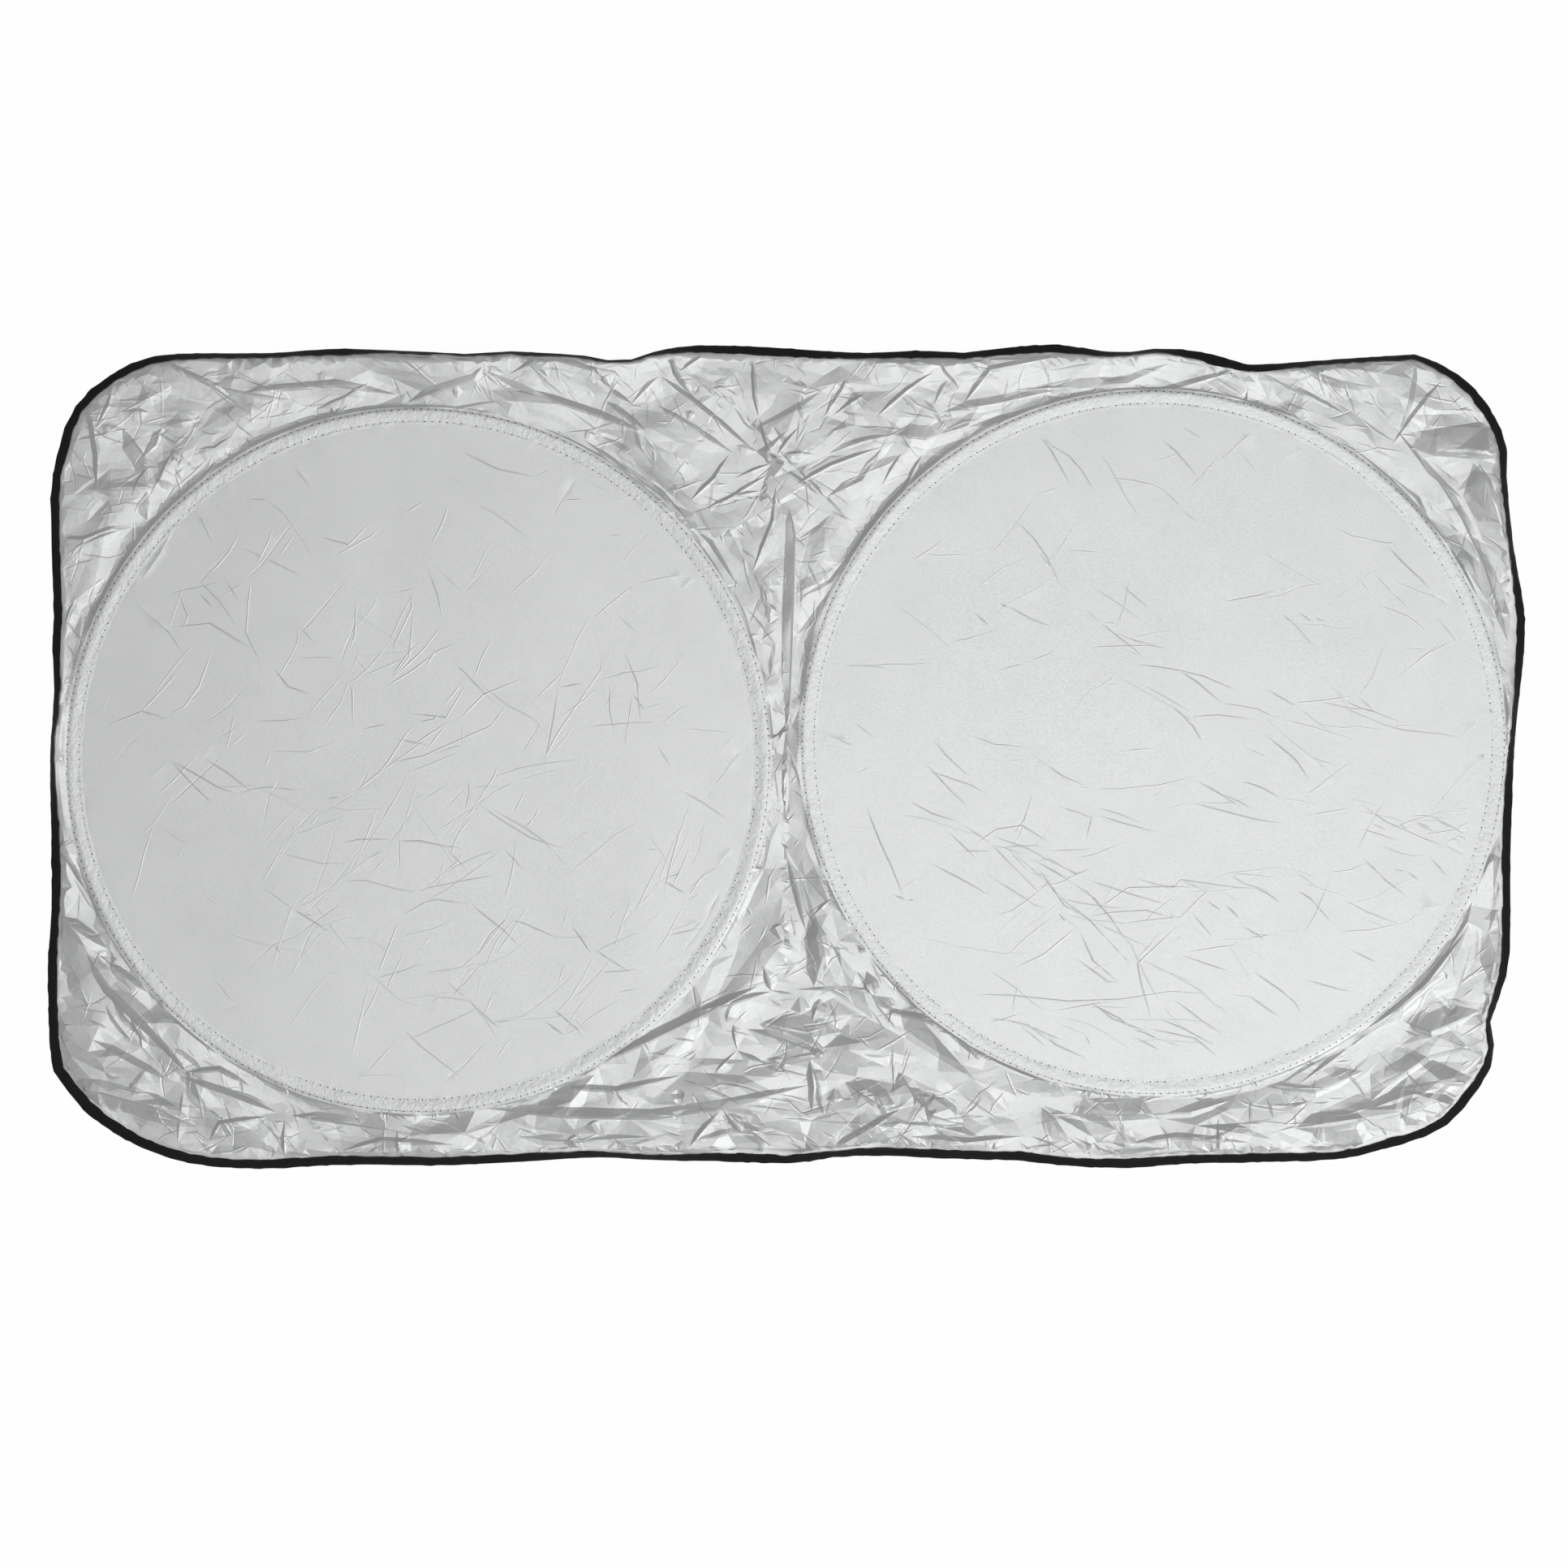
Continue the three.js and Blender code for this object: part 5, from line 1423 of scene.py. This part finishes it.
@dataclass(frozen=True)
class HoopCasing:
    """The grey tape that holds a hoop under the sheet: a trough between two sewn flanges."""

    plan: ShadePlan
    side: str
    centre: Point
    trough: float = 8.0
    slant: float = 1.0
    top: float = 4.8
    steps: int = 240
    ragged: tuple[Point, ...] = ((3.0, 0.3),)
    seed: int = 81

    def build(self) -> bpy.types.Object:
        """Builds the casing as a ring with slightly wavy flanges.

        Returns:
            The casing.
        """
        random = np.random.default_rng([self.seed, len(self.side)])
        wall, half = self.plan.tape_wall, self.plan.casing_width / 2
        floor, mouth = self.trough / 2 - self.slant, self.trough / 2
        profile = [
            (half, self.top), (mouth + 0.6, self.top - 0.02), (mouth, self.top - 0.35),
            (floor + 0.25, wall + 0.35), (floor - 0.4, wall), (-floor + 0.4, wall),
            (-floor - 0.25, wall + 0.35), (-mouth, self.top - 0.35),
            (-mouth - 0.6, self.top - 0.02), (-half, self.top), (-half, self.top - wall),
            (-mouth - wall - 0.3, self.top - wall), (-mouth - wall, self.top - wall - 0.4),
            (-floor - wall, 0.4), (-floor - wall + 0.5, 0.0), (floor + wall - 0.5, 0.0),
            (floor + wall, 0.4), (mouth + wall, self.top - wall - 0.4),
            (mouth + wall + 0.3, self.top - wall), (half, self.top - wall),
        ]
        turns = np.arange(self.steps) * 2 * math.pi / self.steps
        uneven = wavy(self.ragged, self.steps, random)
        rows = []
        for off, level in profile:
            edge = max(abs(off) - self.trough / 2, 0.0) / (half - self.trough / 2)
            radius = self.plan.hoop_radius + off + uneven * edge * math.copysign(1.0, off)
            ring = [
                self.centre[0] + radius * np.cos(turns),
                self.centre[1] + radius * np.sin(turns),
                np.full(self.steps, level),
            ]
            rows.append(np.stack(ring, axis=1))
        points = np.stack(rows, axis=1).reshape(-1, 3)
        return new_piece(f"{self.side}_casing_tape", points, loft_faces(self.steps, len(profile)))


# Node trees


class Wire:
    """A value in a node tree, whose arithmetic adds Math nodes."""

    def __init__(self, bench: "Bench", socket: bpy.types.NodeSocket) -> None:
        """Holds a socket and the bench that its node stands on."""
        self.bench = bench
        self.socket = socket

    def math(self, operation: str, *values: "Wire | float") -> "Wire":
        """Adds a Math node whose inputs are the given values, in order."""
        settings = {"operation": operation}
        return self.bench.node("ShaderNodeMath", settings, dict(enumerate(values)))

    def __add__(self, other: "Wire | float") -> "Wire":
        """This value plus another."""
        return self.math("ADD", self, other)

    __radd__ = __add__

    def __mul__(self, other: "Wire | float") -> "Wire":
        """This value times another."""
        return self.math("MULTIPLY", self, other)

    __rmul__ = __mul__

    def sine(self) -> "Wire":
        """The sine of this value."""
        return self.math("SINE", self)


class Bench:
    """A node tree that is being made, and the one method that adds its nodes."""

    def __init__(self, tree: bpy.types.NodeTree) -> None:
        """Clears the tree."""
        self.tree = tree
        tree.nodes.clear()

    def added(
        self,
        kind: str,
        settings: Mapping[str, object] | None = None,
        inputs: Mapping[str | int, object] | None = None,
    ) -> bpy.types.Node:
        """Adds a node.

        Args:
            kind: The node's type.
            settings: Its own settings, set first.
            inputs: Values or wires for its sockets, by name or number.

        Returns:
            The node.
        """
        node = self.tree.nodes.new(kind)
        for name, value in (settings or {}).items():
            setattr(node, name, value)
        for name, value in (inputs or {}).items():
            if isinstance(value, Wire):
                self.tree.links.new(value.socket, node.inputs[name])
            else:
                node.inputs[name].default_value = value
        return node

    def node(
        self,
        kind: str,
        settings: Mapping[str, object] | None = None,
        inputs: Mapping[str | int, object] | None = None,
        output: str | int = 0,
    ) -> Wire:
        """Adds a node and gives one of its outputs, by name or number."""
        return Wire(self, self.added(kind, settings, inputs).outputs[output])


class FinishBench(Bench):
    """A material that is being made, with the nodes that finishes share."""

    def __init__(self, name: str) -> None:
        """Starts an empty material."""
        self.material = bpy.data.materials.new(name)
        self.material.use_nodes = True
        super().__init__(self.material.node_tree)

    def place(self) -> Wire:
        """Object coordinates."""
        return self.node("ShaderNodeTexCoord", output="Object")

    def axis(self, vector: Wire, name: str) -> Wire:
        """One axis of a vector."""
        return self.node("ShaderNodeSeparateXYZ", inputs={0: vector}, output=name)

    def field(self, name: str) -> Wire:
        """A value that the mesh keeps at its points."""
        return self.node("ShaderNodeAttribute", {"attribute_name": name}, output="Fac")

    def noise(self, vector: Wire, size: float, detail: float = 2.0) -> Wire:
        """Noise whose blobs are about size metres across, from 0 to 1."""
        inputs = {"Vector": vector, "Scale": 1 / size, "Detail": detail}
        return self.node("ShaderNodeTexNoise", inputs=inputs)

    def ramp(self, value: Wire, given: tuple[float, float], wanted: tuple[float, float]) -> Wire:
        """Carries a value from one range to another, held at both ends.

        Args:
            value: The value.
            given: The ends of its range.
            wanted: The ends of the other range.

        Returns:
            The carried value.
        """
        names = ("From Min", "From Max", "To Min", "To Max")
        inputs = {"Value": value, **dict(zip(names, (*given, *wanted), strict=True))}
        return self.node("ShaderNodeMapRange", {"clamp": True}, inputs)

    def tint(self, amount: Wire, low: Colour, high: Colour) -> Wire:
        """A colour between two others."""
        inputs = {0: amount, 6: (*low, 1.0), 7: (*high, 1.0)}
        return self.node("ShaderNodeMix", {"data_type": "RGBA"}, inputs, output=2)

    def bump(self, height: Wire, depth: float) -> Wire:
        """A normal from a height of 0 to 1, which is depth metres deep."""
        return self.node("ShaderNodeBump", inputs={"Height": height, "Distance": depth})

    def finish(self, shader: Mapping[str, object]) -> bpy.types.Material:
        """Ends the material in one Principled shader with the given sockets."""
        return self.end(self.node("ShaderNodeBsdfPrincipled", inputs=shader))

    def end(self, surface: Wire) -> bpy.types.Material:
        """Ends the material in a shader."""
        self.added("ShaderNodeOutputMaterial", inputs={"Surface": surface})
        return self.material


# Seams


@dataclass(frozen=True)
class Seam:
    """A closed row of stitches, or of dark dots painted as the shade in needle holes, set along a
    path by Geometry Nodes.

    pitch, length, width and height are in millimetres, and drift is how far a stitch may stray.
    """

    name: str
    pitch: float
    length: float
    width: float
    height: float
    drift: float = 0.15
    seed: int = 5

    def build(
        self, path: Array, normals: Array, material: bpy.types.Material
    ) -> bpy.types.Object:
        """Sets the stitches and returns them as a plain mesh.

        Args:
            path: The seam's line in millimetres.
            normals: Direction out of the cloth at each point of the line.
            material: The stitches' material.

        Returns:
            The stitches as one mesh object.
        """
        guide = self.guide(path, normals)
        tree, sockets = self.tree()
        modifier = guide.modifiers.new("stitches", "NODES")
        modifier.node_group = tree
        values = {
            "Pitch": self.pitch * MM,
            "Stitch Size": (self.length * MM, self.width * MM, self.height * MM),
            "Drift": self.drift * MM,
            "Seed": self.seed,
            "Finish": material,
        }
        for label, value in values.items():
            modifier[sockets[label]] = value
        graph = bpy.context.evaluated_depsgraph_get()
        mesh = bpy.data.meshes.new_from_object(guide.evaluated_get(graph), depsgraph=graph)
        guide.modifiers.remove(modifier)
        bpy.data.objects.remove(guide)
        mesh.name = self.name
        mesh.shade_smooth()
        if "outwards" in mesh.attributes:
            mesh.attributes.remove(mesh.attributes["outwards"])
        piece = bpy.data.objects.new(self.name, mesh)
        bpy.context.scene.collection.objects.link(piece)
        return piece

    def guide(self, path: Array, normals: Array) -> bpy.types.Object:
        """The seam's line as a mesh of edges with an outward direction at each point.

        Args:
            path: The line in millimetres.
            normals: Direction out of the cloth at each of its points.

        Returns:
            The line's object, which build removes.
        """
        mesh = bpy.data.meshes.new(self.name + "_guide")
        count = len(path)
        edges = [(k, (k + 1) % count) for k in range(count)]
        mesh.from_pydata((path * MM).tolist(), edges, [])
        outwards = mesh.attributes.new("outwards", "FLOAT_VECTOR", "POINT")
        outwards.data.foreach_set("vector", np.asarray(normals, np.float32).ravel())
        guide = bpy.data.objects.new(self.name + "_guide", mesh)
        bpy.context.scene.collection.objects.link(guide)
        return guide

    def tree(self) -> tuple[bpy.types.NodeTree, dict[str, str]]:
        """Builds the node tree that sets one small rounded body at each step of a line.

        Returns:
            The tree, and the identifier of each of its named inputs.
        """
        tree = bpy.data.node_groups.new(self.name + "_stitches", "GeometryNodeTree")
        face = tree.interface
        face.new_socket("Line", in_out="INPUT", socket_type="NodeSocketGeometry")
        kinds = {
            "Pitch": "NodeSocketFloat",
            "Stitch Size": "NodeSocketVector",
            "Drift": "NodeSocketFloat",
            "Seed": "NodeSocketInt",
            "Finish": "NodeSocketMaterial",
        }
        sockets = {
            label: face.new_socket(label, in_out="INPUT", socket_type=kind).identifier
            for label, kind in kinds.items()
        }
        face.new_socket("Stitches", in_out="OUTPUT", socket_type="NodeSocketGeometry")
        bench = Bench(tree)
        given = {s.name: Wire(bench, s) for s in bench.added("NodeGroupInput").outputs}
        curve = bench.node("GeometryNodeMeshToCurve", inputs={"Mesh": given["Line"]})
        steps = bench.node(
            "GeometryNodeResampleCurve",
            {"mode": "LENGTH"},
            {"Curve": curve, "Length": given["Pitch"]},
        )
        stray = bench.node(
            "FunctionNodeRandomValue",
            {"data_type": "FLOAT_VECTOR"},
            {"Min": (-1.0, -1.0, 0.0), "Max": (1.0, 1.0, 0.0), "Seed": given["Seed"]},
        )
        offset = bench.node(
            "ShaderNodeVectorMath", {"operation": "SCALE"}, {0: stray, "Scale": given["Drift"]}
        )
        places = bench.node("GeometryNodeSetPosition", inputs={"Geometry": steps, "Offset": offset})
        body = bench.node(
            "GeometryNodeMeshUVSphere", inputs={"Segments": 8, "Rings": 5, "Radius": 0.5}
        )
        outwards = bench.node(
            "GeometryNodeInputNamedAttribute",
            {"data_type": "FLOAT_VECTOR"},
            {"Name": "outwards"},
            output="Attribute",
        )
        stand = bench.node("FunctionNodeAlignRotationToVector", {"axis": "Z"}, {"Vector": outwards})
        turn = bench.node(
            "FunctionNodeAlignRotationToVector",
            {"axis": "X", "pivot_axis": "Z"},
            {"Rotation": stand, "Vector": bench.node("GeometryNodeInputTangent")},
        )
        copies = bench.node(
            "GeometryNodeInstanceOnPoints",
            inputs={
                "Points": places,
                "Instance": body,
                "Rotation": turn,
                "Scale": given["Stitch Size"],
            },
        )
        real = bench.node("GeometryNodeRealizeInstances", inputs={"Geometry": copies})
        dressed = bench.node(
            "GeometryNodeSetMaterial", inputs={"Geometry": real, "Material": given["Finish"]}
        )
        bench.added("NodeGroupOutput", inputs={"Stitches": dressed})
        return tree, sockets


# Materials


@dataclass(frozen=True)
class SilverCloth:
    """Silver-coated plain weave with a satin sheen; its lengths are in metres."""

    dull: Colour = (0.655, 0.66, 0.664)
    bright: Colour = (0.67, 0.675, 0.678)
    metallic: float = 0.85
    roughness: float = 0.5
    thread: float = 0.0009
    grain: float = 0.0016
    cloud: float = 0.05
    crease: float = 0.007
    pucker: float = 0.0036
    relief_depth: float = 0.0004

    def material(self) -> bpy.types.Material:
        """Makes the finish, crumpled where the cloth is slack.

        Returns:
            The material.
        """
        bench = FinishBench("silver_cloth_finish")
        place = bench.place()
        x, y = bench.axis(place, "X"), bench.axis(place, "Y")
        turn = 2 * math.pi / self.thread
        weave = (x * turn).sine() * (y * turn).sine() * 0.5 + 0.5
        cloudy = bench.noise(place, self.cloud, 3.0)
        grain = bench.noise(place, self.grain, 2.0)
        worn = bench.noise(place, self.crease, 2.0) * (bench.field("slackness") * 0.7)
        puckers = bench.noise(place, self.pucker, 1.0) * (bench.field("gathers") * 1.2)
        relief = weave * 0.12 + grain * 0.25 + worn + puckers
        cloudy = bench.ramp(cloudy, (0.35, 0.65), (0.0, 1.0))
        colour = bench.tint(cloudy, self.dull, self.bright)
        rough = self.roughness + bench.ramp(grain, (0.3, 0.7), (-0.03, 0.05))
        return bench.finish(
            {
                "Base Color": colour,
                "Metallic": self.metallic,
                "Roughness": rough,
                "Normal": bench.bump(relief, self.relief_depth),
            }
        )


@dataclass(frozen=True)
class WovenTape:
    """Ribbed woven tape, whose ribs follow the UV map where it has one; lengths in metres."""

    name: str
    dark: Colour
    pale: Colour
    roughness: float = 0.82
    rib: float = 0.0011
    fuzz: float = 0.0008
    patch: float = 0.02
    depth: float = 0.00018
    sheen: float = 0.05
    specular: float = 0.15
    on_uv: bool = True

    def material(self) -> bpy.types.Material:
        """Makes the finish.

        Returns:
            The material.
        """
        bench = FinishBench(self.name)
        place = bench.node("ShaderNodeTexCoord", output="UV" if self.on_uv else "Object")
        turn = 2 * math.pi / self.rib
        x, y = bench.axis(place, "X"), bench.axis(place, "Y")
        ribs = (x * turn).sine() * 0.5 + 0.5
        threads = (y * (turn * 1.6)).sine() * 0.5 + 0.5
        fuzz = bench.noise(bench.place(), self.fuzz, 3.0)
        worn = bench.noise(bench.place(), self.patch, 2.0)
        weave = ribs * threads
        colour = bench.tint(weave * 0.5 + worn * 0.5, self.dark, self.pale)
        return bench.finish(
            {
                "Base Color": colour,
                "Roughness": self.roughness,
                "Sheen Weight": self.sheen,
                "Specular IOR Level": self.specular,
                "Normal": bench.bump(weave * 0.7 + fuzz * 0.5, self.depth),
            }
        )


@dataclass(frozen=True)
class Thread:
    """Twisted sewing thread, or near-black painted shade standing in for a needle hole; its lengths
    are in metres.
    """

    name: str
    colour: Colour
    roughness: float = 0.6
    twist: float = 0.0005
    patch: float = 0.01
    depth: float = 0.00004
    pale_by: float = 1.25

    def material(self) -> bpy.types.Material:
        """Makes the finish.

        Returns:
            The material.
        """
        bench = FinishBench(self.name)
        place = bench.place()
        run = (bench.axis(place, "X") + bench.axis(place, "Y")) * (2 * math.pi / self.twist)
        strands = run.sine() * 0.5 + 0.5
        worn = bench.noise(place, self.patch, 2.0)
        pale = tuple(min(c * self.pale_by, 1.0) for c in self.colour)
        return bench.finish(
            {
                "Base Color": bench.tint(worn * 0.6 + strands * 0.4, self.colour, pale),
                "Roughness": self.roughness,
                "Normal": bench.bump(strands, self.depth),
            }
        )


@dataclass(frozen=True)
class DrawnSteel:
    """Steel with fine marks round its ring, drawn_out times finer in height; metres."""

    name: str
    colour: Colour
    roughness: float
    mark: float = 0.002
    drawn_out: float = 9.0
    spot: float = 0.004
    depth: float = 0.00002
    pale_by: float = 1.2

    def material(self) -> bpy.types.Material:
        """Makes the finish.

        Returns:
            The material.
        """
        bench = FinishBench(self.name)
        place = bench.place()
        height = bench.axis(place, "Z") * self.drawn_out
        lined = bench.node("ShaderNodeCombineXYZ", inputs={0: 0.0, 1: 0.0, 2: height})
        marks = bench.noise(lined, self.mark, 4.0)
        spots = bench.noise(place, self.spot, 3.0)
        pale = tuple(min(c * self.pale_by, 1.0) for c in self.colour)
        return bench.finish(
            {
                "Base Color": bench.tint(spots, self.colour, pale),
                "Metallic": 1.0,
                "Roughness": self.roughness + marks * 0.1,
                "Normal": bench.bump(marks, self.depth),
            }
        )


# Studio


@dataclass(frozen=True)
class Lamp:
    """A square softbox aimed at the middle of the shade; place and size are in metres."""

    name: str
    place: tuple[float, float, float]
    size: float
    power: float

    def build(self) -> None:
        """Hangs the lamp."""
        lamp = bpy.data.lights.new(self.name, "AREA")
        lamp.shape, lamp.size, lamp.energy = "SQUARE", self.size, self.power
        holder = bpy.data.objects.new(self.name, lamp)
        holder.location = self.place
        holder.rotation_euler = (-Vector(self.place)).to_track_quat("-Z", "Y").to_euler()
        holder.visible_camera = False
        bpy.context.scene.collection.objects.link(holder)


@dataclass(frozen=True)
class Studio:
    """The white floor, the camera straight above, and softboxes overhead and at the lower right."""

    frame_width: float = 1.5897
    aim: tuple[float, float, float] = (-0.0025, -0.0276, 0.006)
    lens: float = 85.0
    sensor: float = 36.0
    lamps: tuple[Lamp, ...] = (
        Lamp("overhead_lamp", (0.6, -0.5, 4.6), 3.6, 86.0),
        Lamp("side_lamp", (4.2, -4.2, 3.9), 3.9, 190.0),
    )
    sky: float = 0.30
    floor_reach: float = 6.0
    floor_glow: float = 0.97

    def build(self) -> None:
        """Builds the floor, the lamps, the sky and the camera."""
        self.build_floor()
        for lamp in self.lamps:
            lamp.build()
        self.build_sky()
        camera = bpy.data.cameras.new("plan_camera")
        camera.lens, camera.sensor_width = self.lens, self.sensor
        camera.clip_end = 20.0
        stand = bpy.data.objects.new("plan_camera", camera)
        away = self.frame_width * self.lens / self.sensor
        stand.location = Vector(self.aim) + Vector((0.0, 0.0, away))
        bpy.context.scene.collection.objects.link(stand)
        bpy.context.scene.camera = stand
        bpy.context.scene.view_settings.view_transform = "Standard"

    def build_sky(self) -> None:
        """A plain dim sky, which fills the side that the lamps don't reach."""
        world = bpy.data.worlds.new("studio_sky")
        bpy.context.scene.world = world
        world.use_nodes = True
        bench = Bench(world.node_tree)
        grey = (self.sky, self.sky, self.sky, 1.0)
        lit = bench.node("ShaderNodeBackground", inputs={"Color": grey})
        bench.added("ShaderNodeOutputWorld", inputs={"Surface": lit})

    def build_floor(self) -> None:
        """A white floor that keeps a faint shadow."""
        half = self.floor_reach / 2 / MM
        corners = np.array([(-half, -half, 0), (half, -half, 0), (half, half, 0), (-half, half, 0)])
        floor = new_piece("studio_floor", corners, [(0, 1, 2, 3)])
        bench = FinishBench("white_floor")
        grain = bench.noise(bench.place(), 0.4, 1.0)
        paint = bench.tint(grain, (0.86, 0.86, 0.86), (0.9, 0.9, 0.9))
        matt = bench.node("ShaderNodeBsdfDiffuse", inputs={"Color": paint})
        glow = bench.node(
            "ShaderNodeEmission", inputs={"Color": (1.0, 1.0, 1.0, 1.0), "Strength": 1.0}
        )
        names = ("Is Camera Ray", "Is Glossy Ray", "Is Transmission Ray")
        seen, mirrored, through = (bench.node("ShaderNodeLightPath", output=n) for n in names)
        share = (seen + mirrored + through) * self.floor_glow
        mixed = bench.node("ShaderNodeMixShader", inputs={0: share, 1: matt, 2: glow})
        floor.data.materials.append(bench.end(mixed))


@dataclass(frozen=True)
class Sunshade:
    """The whole shade: its pieces in the order in which they are made.

    A seam's sizes are the pitch, length, width and height of its stitches in millimetres.
    """

    plan: ShadePlan
    edge: SheetEdge
    hem_sizes: tuple[float, ...] = (3.4, 2.7, 0.5, 0.4)
    stitch_sizes: tuple[float, ...] = (7.5, 3.4, 0.7, 0.5)
    hole_sizes: tuple[float, ...] = (7.5, 1.7, 1.4, 0.4)
    hole_lift: float = 0.02
    path_points: int = 900

    def build(self) -> list[bpy.types.Object]:
        """Builds and dresses every piece.

        Returns:
            The new pieces.
        """
        pale_thread = Thread("pale_thread", (0.55, 0.56, 0.57)).material()
        black_thread = Thread("black_thread", (0.01, 0.01, 0.011)).material()
        # The needle holes are near-black dots set just above the cloth: painted shade, not a colour
        # of the cloth or the thread.
        hole_shade_finish = Thread("needle_pit", (0.05, 0.05, 0.05), 0.9).material()
        grey_tape = WovenTape(
            "grey_tape_finish", (0.36, 0.37, 0.38), (0.5, 0.51, 0.52), on_uv=False
        ).material()
        black_tape = WovenTape(
            "black_tape_finish", (0.006, 0.006, 0.0065), (0.014, 0.014, 0.0145)
        ).material()
        relief = ClothRelief(self.plan, self.edge)
        sheet = ShadeCloth(self.plan, self.edge).build(relief)
        dress(sheet, SilverCloth().material())
        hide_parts("shade_sheet")
        binding = EdgeBinding(self.plan, self.edge)
        tape = binding.build()
        dress(tape, black_tape)
        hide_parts("edge_binding")
        sewn = [tape]
        path, normals = binding.seam()
        hem = Seam("edge_tape_stitches", *self.hem_sizes, drift=0.08)
        piece = hem.build(path, normals, black_thread)
        dress(piece, black_thread)
        sewn.append(piece)
        for side, centre in zip(("left", "right"), self.plan.centres, strict=True):
            casing = HoopCasing(self.plan, side, centre).build()
            dress(casing, grey_tape)
            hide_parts(f"{side}_hoop_casing")
            sewn.append(casing)
            sewn += self.hoop_seams(side, centre, relief, pale_thread, hole_shade_finish)
            self.dress_steel(side)
        return [sheet, *sewn]

    def hoop_seams(
        self,
        side: str,
        centre: Point,
        relief: ClothRelief,
        thread: bpy.types.Material,
        hole_shade_finish: bpy.types.Material,
    ) -> list[bpy.types.Object]:
        """Two rows of stitches along a hoop, each with a row of dark dots painted as the shade in
        its needle holes.

        Args:
            side: The hoop's side.
            centre: Its plan centre.
            relief: The cloth's heights.
            thread: The thread's material.
            hole_shade_finish: The dark dots' material, painted shade of the needle holes.

        Returns:
            The four pieces.
        """
        pieces = []
        for row, offset in (("inner", -1), ("outer", 1)):
            radius = self.plan.hoop_radius + offset * self.plan.seam_offset
            turns = np.linspace(0, 2 * math.pi, self.path_points, endpoint=False)
            at = np.stack(
                [centre[0] + radius * np.cos(turns), centre[1] + radius * np.sin(turns)], axis=1
            )
            path = np.column_stack([at, relief.height(*at.T)])
            normals = np.tile([0.0, 0.0, 1.0], (len(path), 1))
            stitching = Seam(f"{side}_{row}_stitches", *self.stitch_sizes)
            stitches = stitching.build(path, normals, thread)
            dress(stitches, thread)
            # These dots paint the needle holes' shade; the cloth itself is not pierced.
            piercing = Seam(f"{side}_{row}_needle_holes", *self.hole_sizes)
            between = np.roll(path, 2, axis=0) + (0, 0, self.hole_lift)
            holes = piercing.build(between, normals, hole_shade_finish)
            dress(holes, hole_shade_finish)
            pieces += [stitches, holes]
        return pieces

    def dress_steel(self, side: str) -> None:
        """Gives a hoop and its sleeve their steel.

        Args:
            side: The hoop's side.
        """
        for node, colour, rough in (
            (f"{side}_hoop", (0.30, 0.31, 0.32), 0.3),
            (f"{side}_hoop_sleeve", (0.44, 0.45, 0.46), 0.36),
        ):
            steel = DrawnSteel(f"{node}_finish", colour, rough).material()
            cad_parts[node].material_slots[0].material = steel


def main() -> None:
    """Builds the shade and its studio."""
    logging.basicConfig(level=logging.INFO, format="%(message)s")
    plan = ShadePlan()
    Studio().build()
    edge = SheetEdge.of_node(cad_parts["shade_sheet"], plan)
    for piece in Sunshade(plan, edge).build():
        LOG.info("%s: %d faces", piece.name, len(piece.data.polygons))


if __name__ == "__main__":
    main()
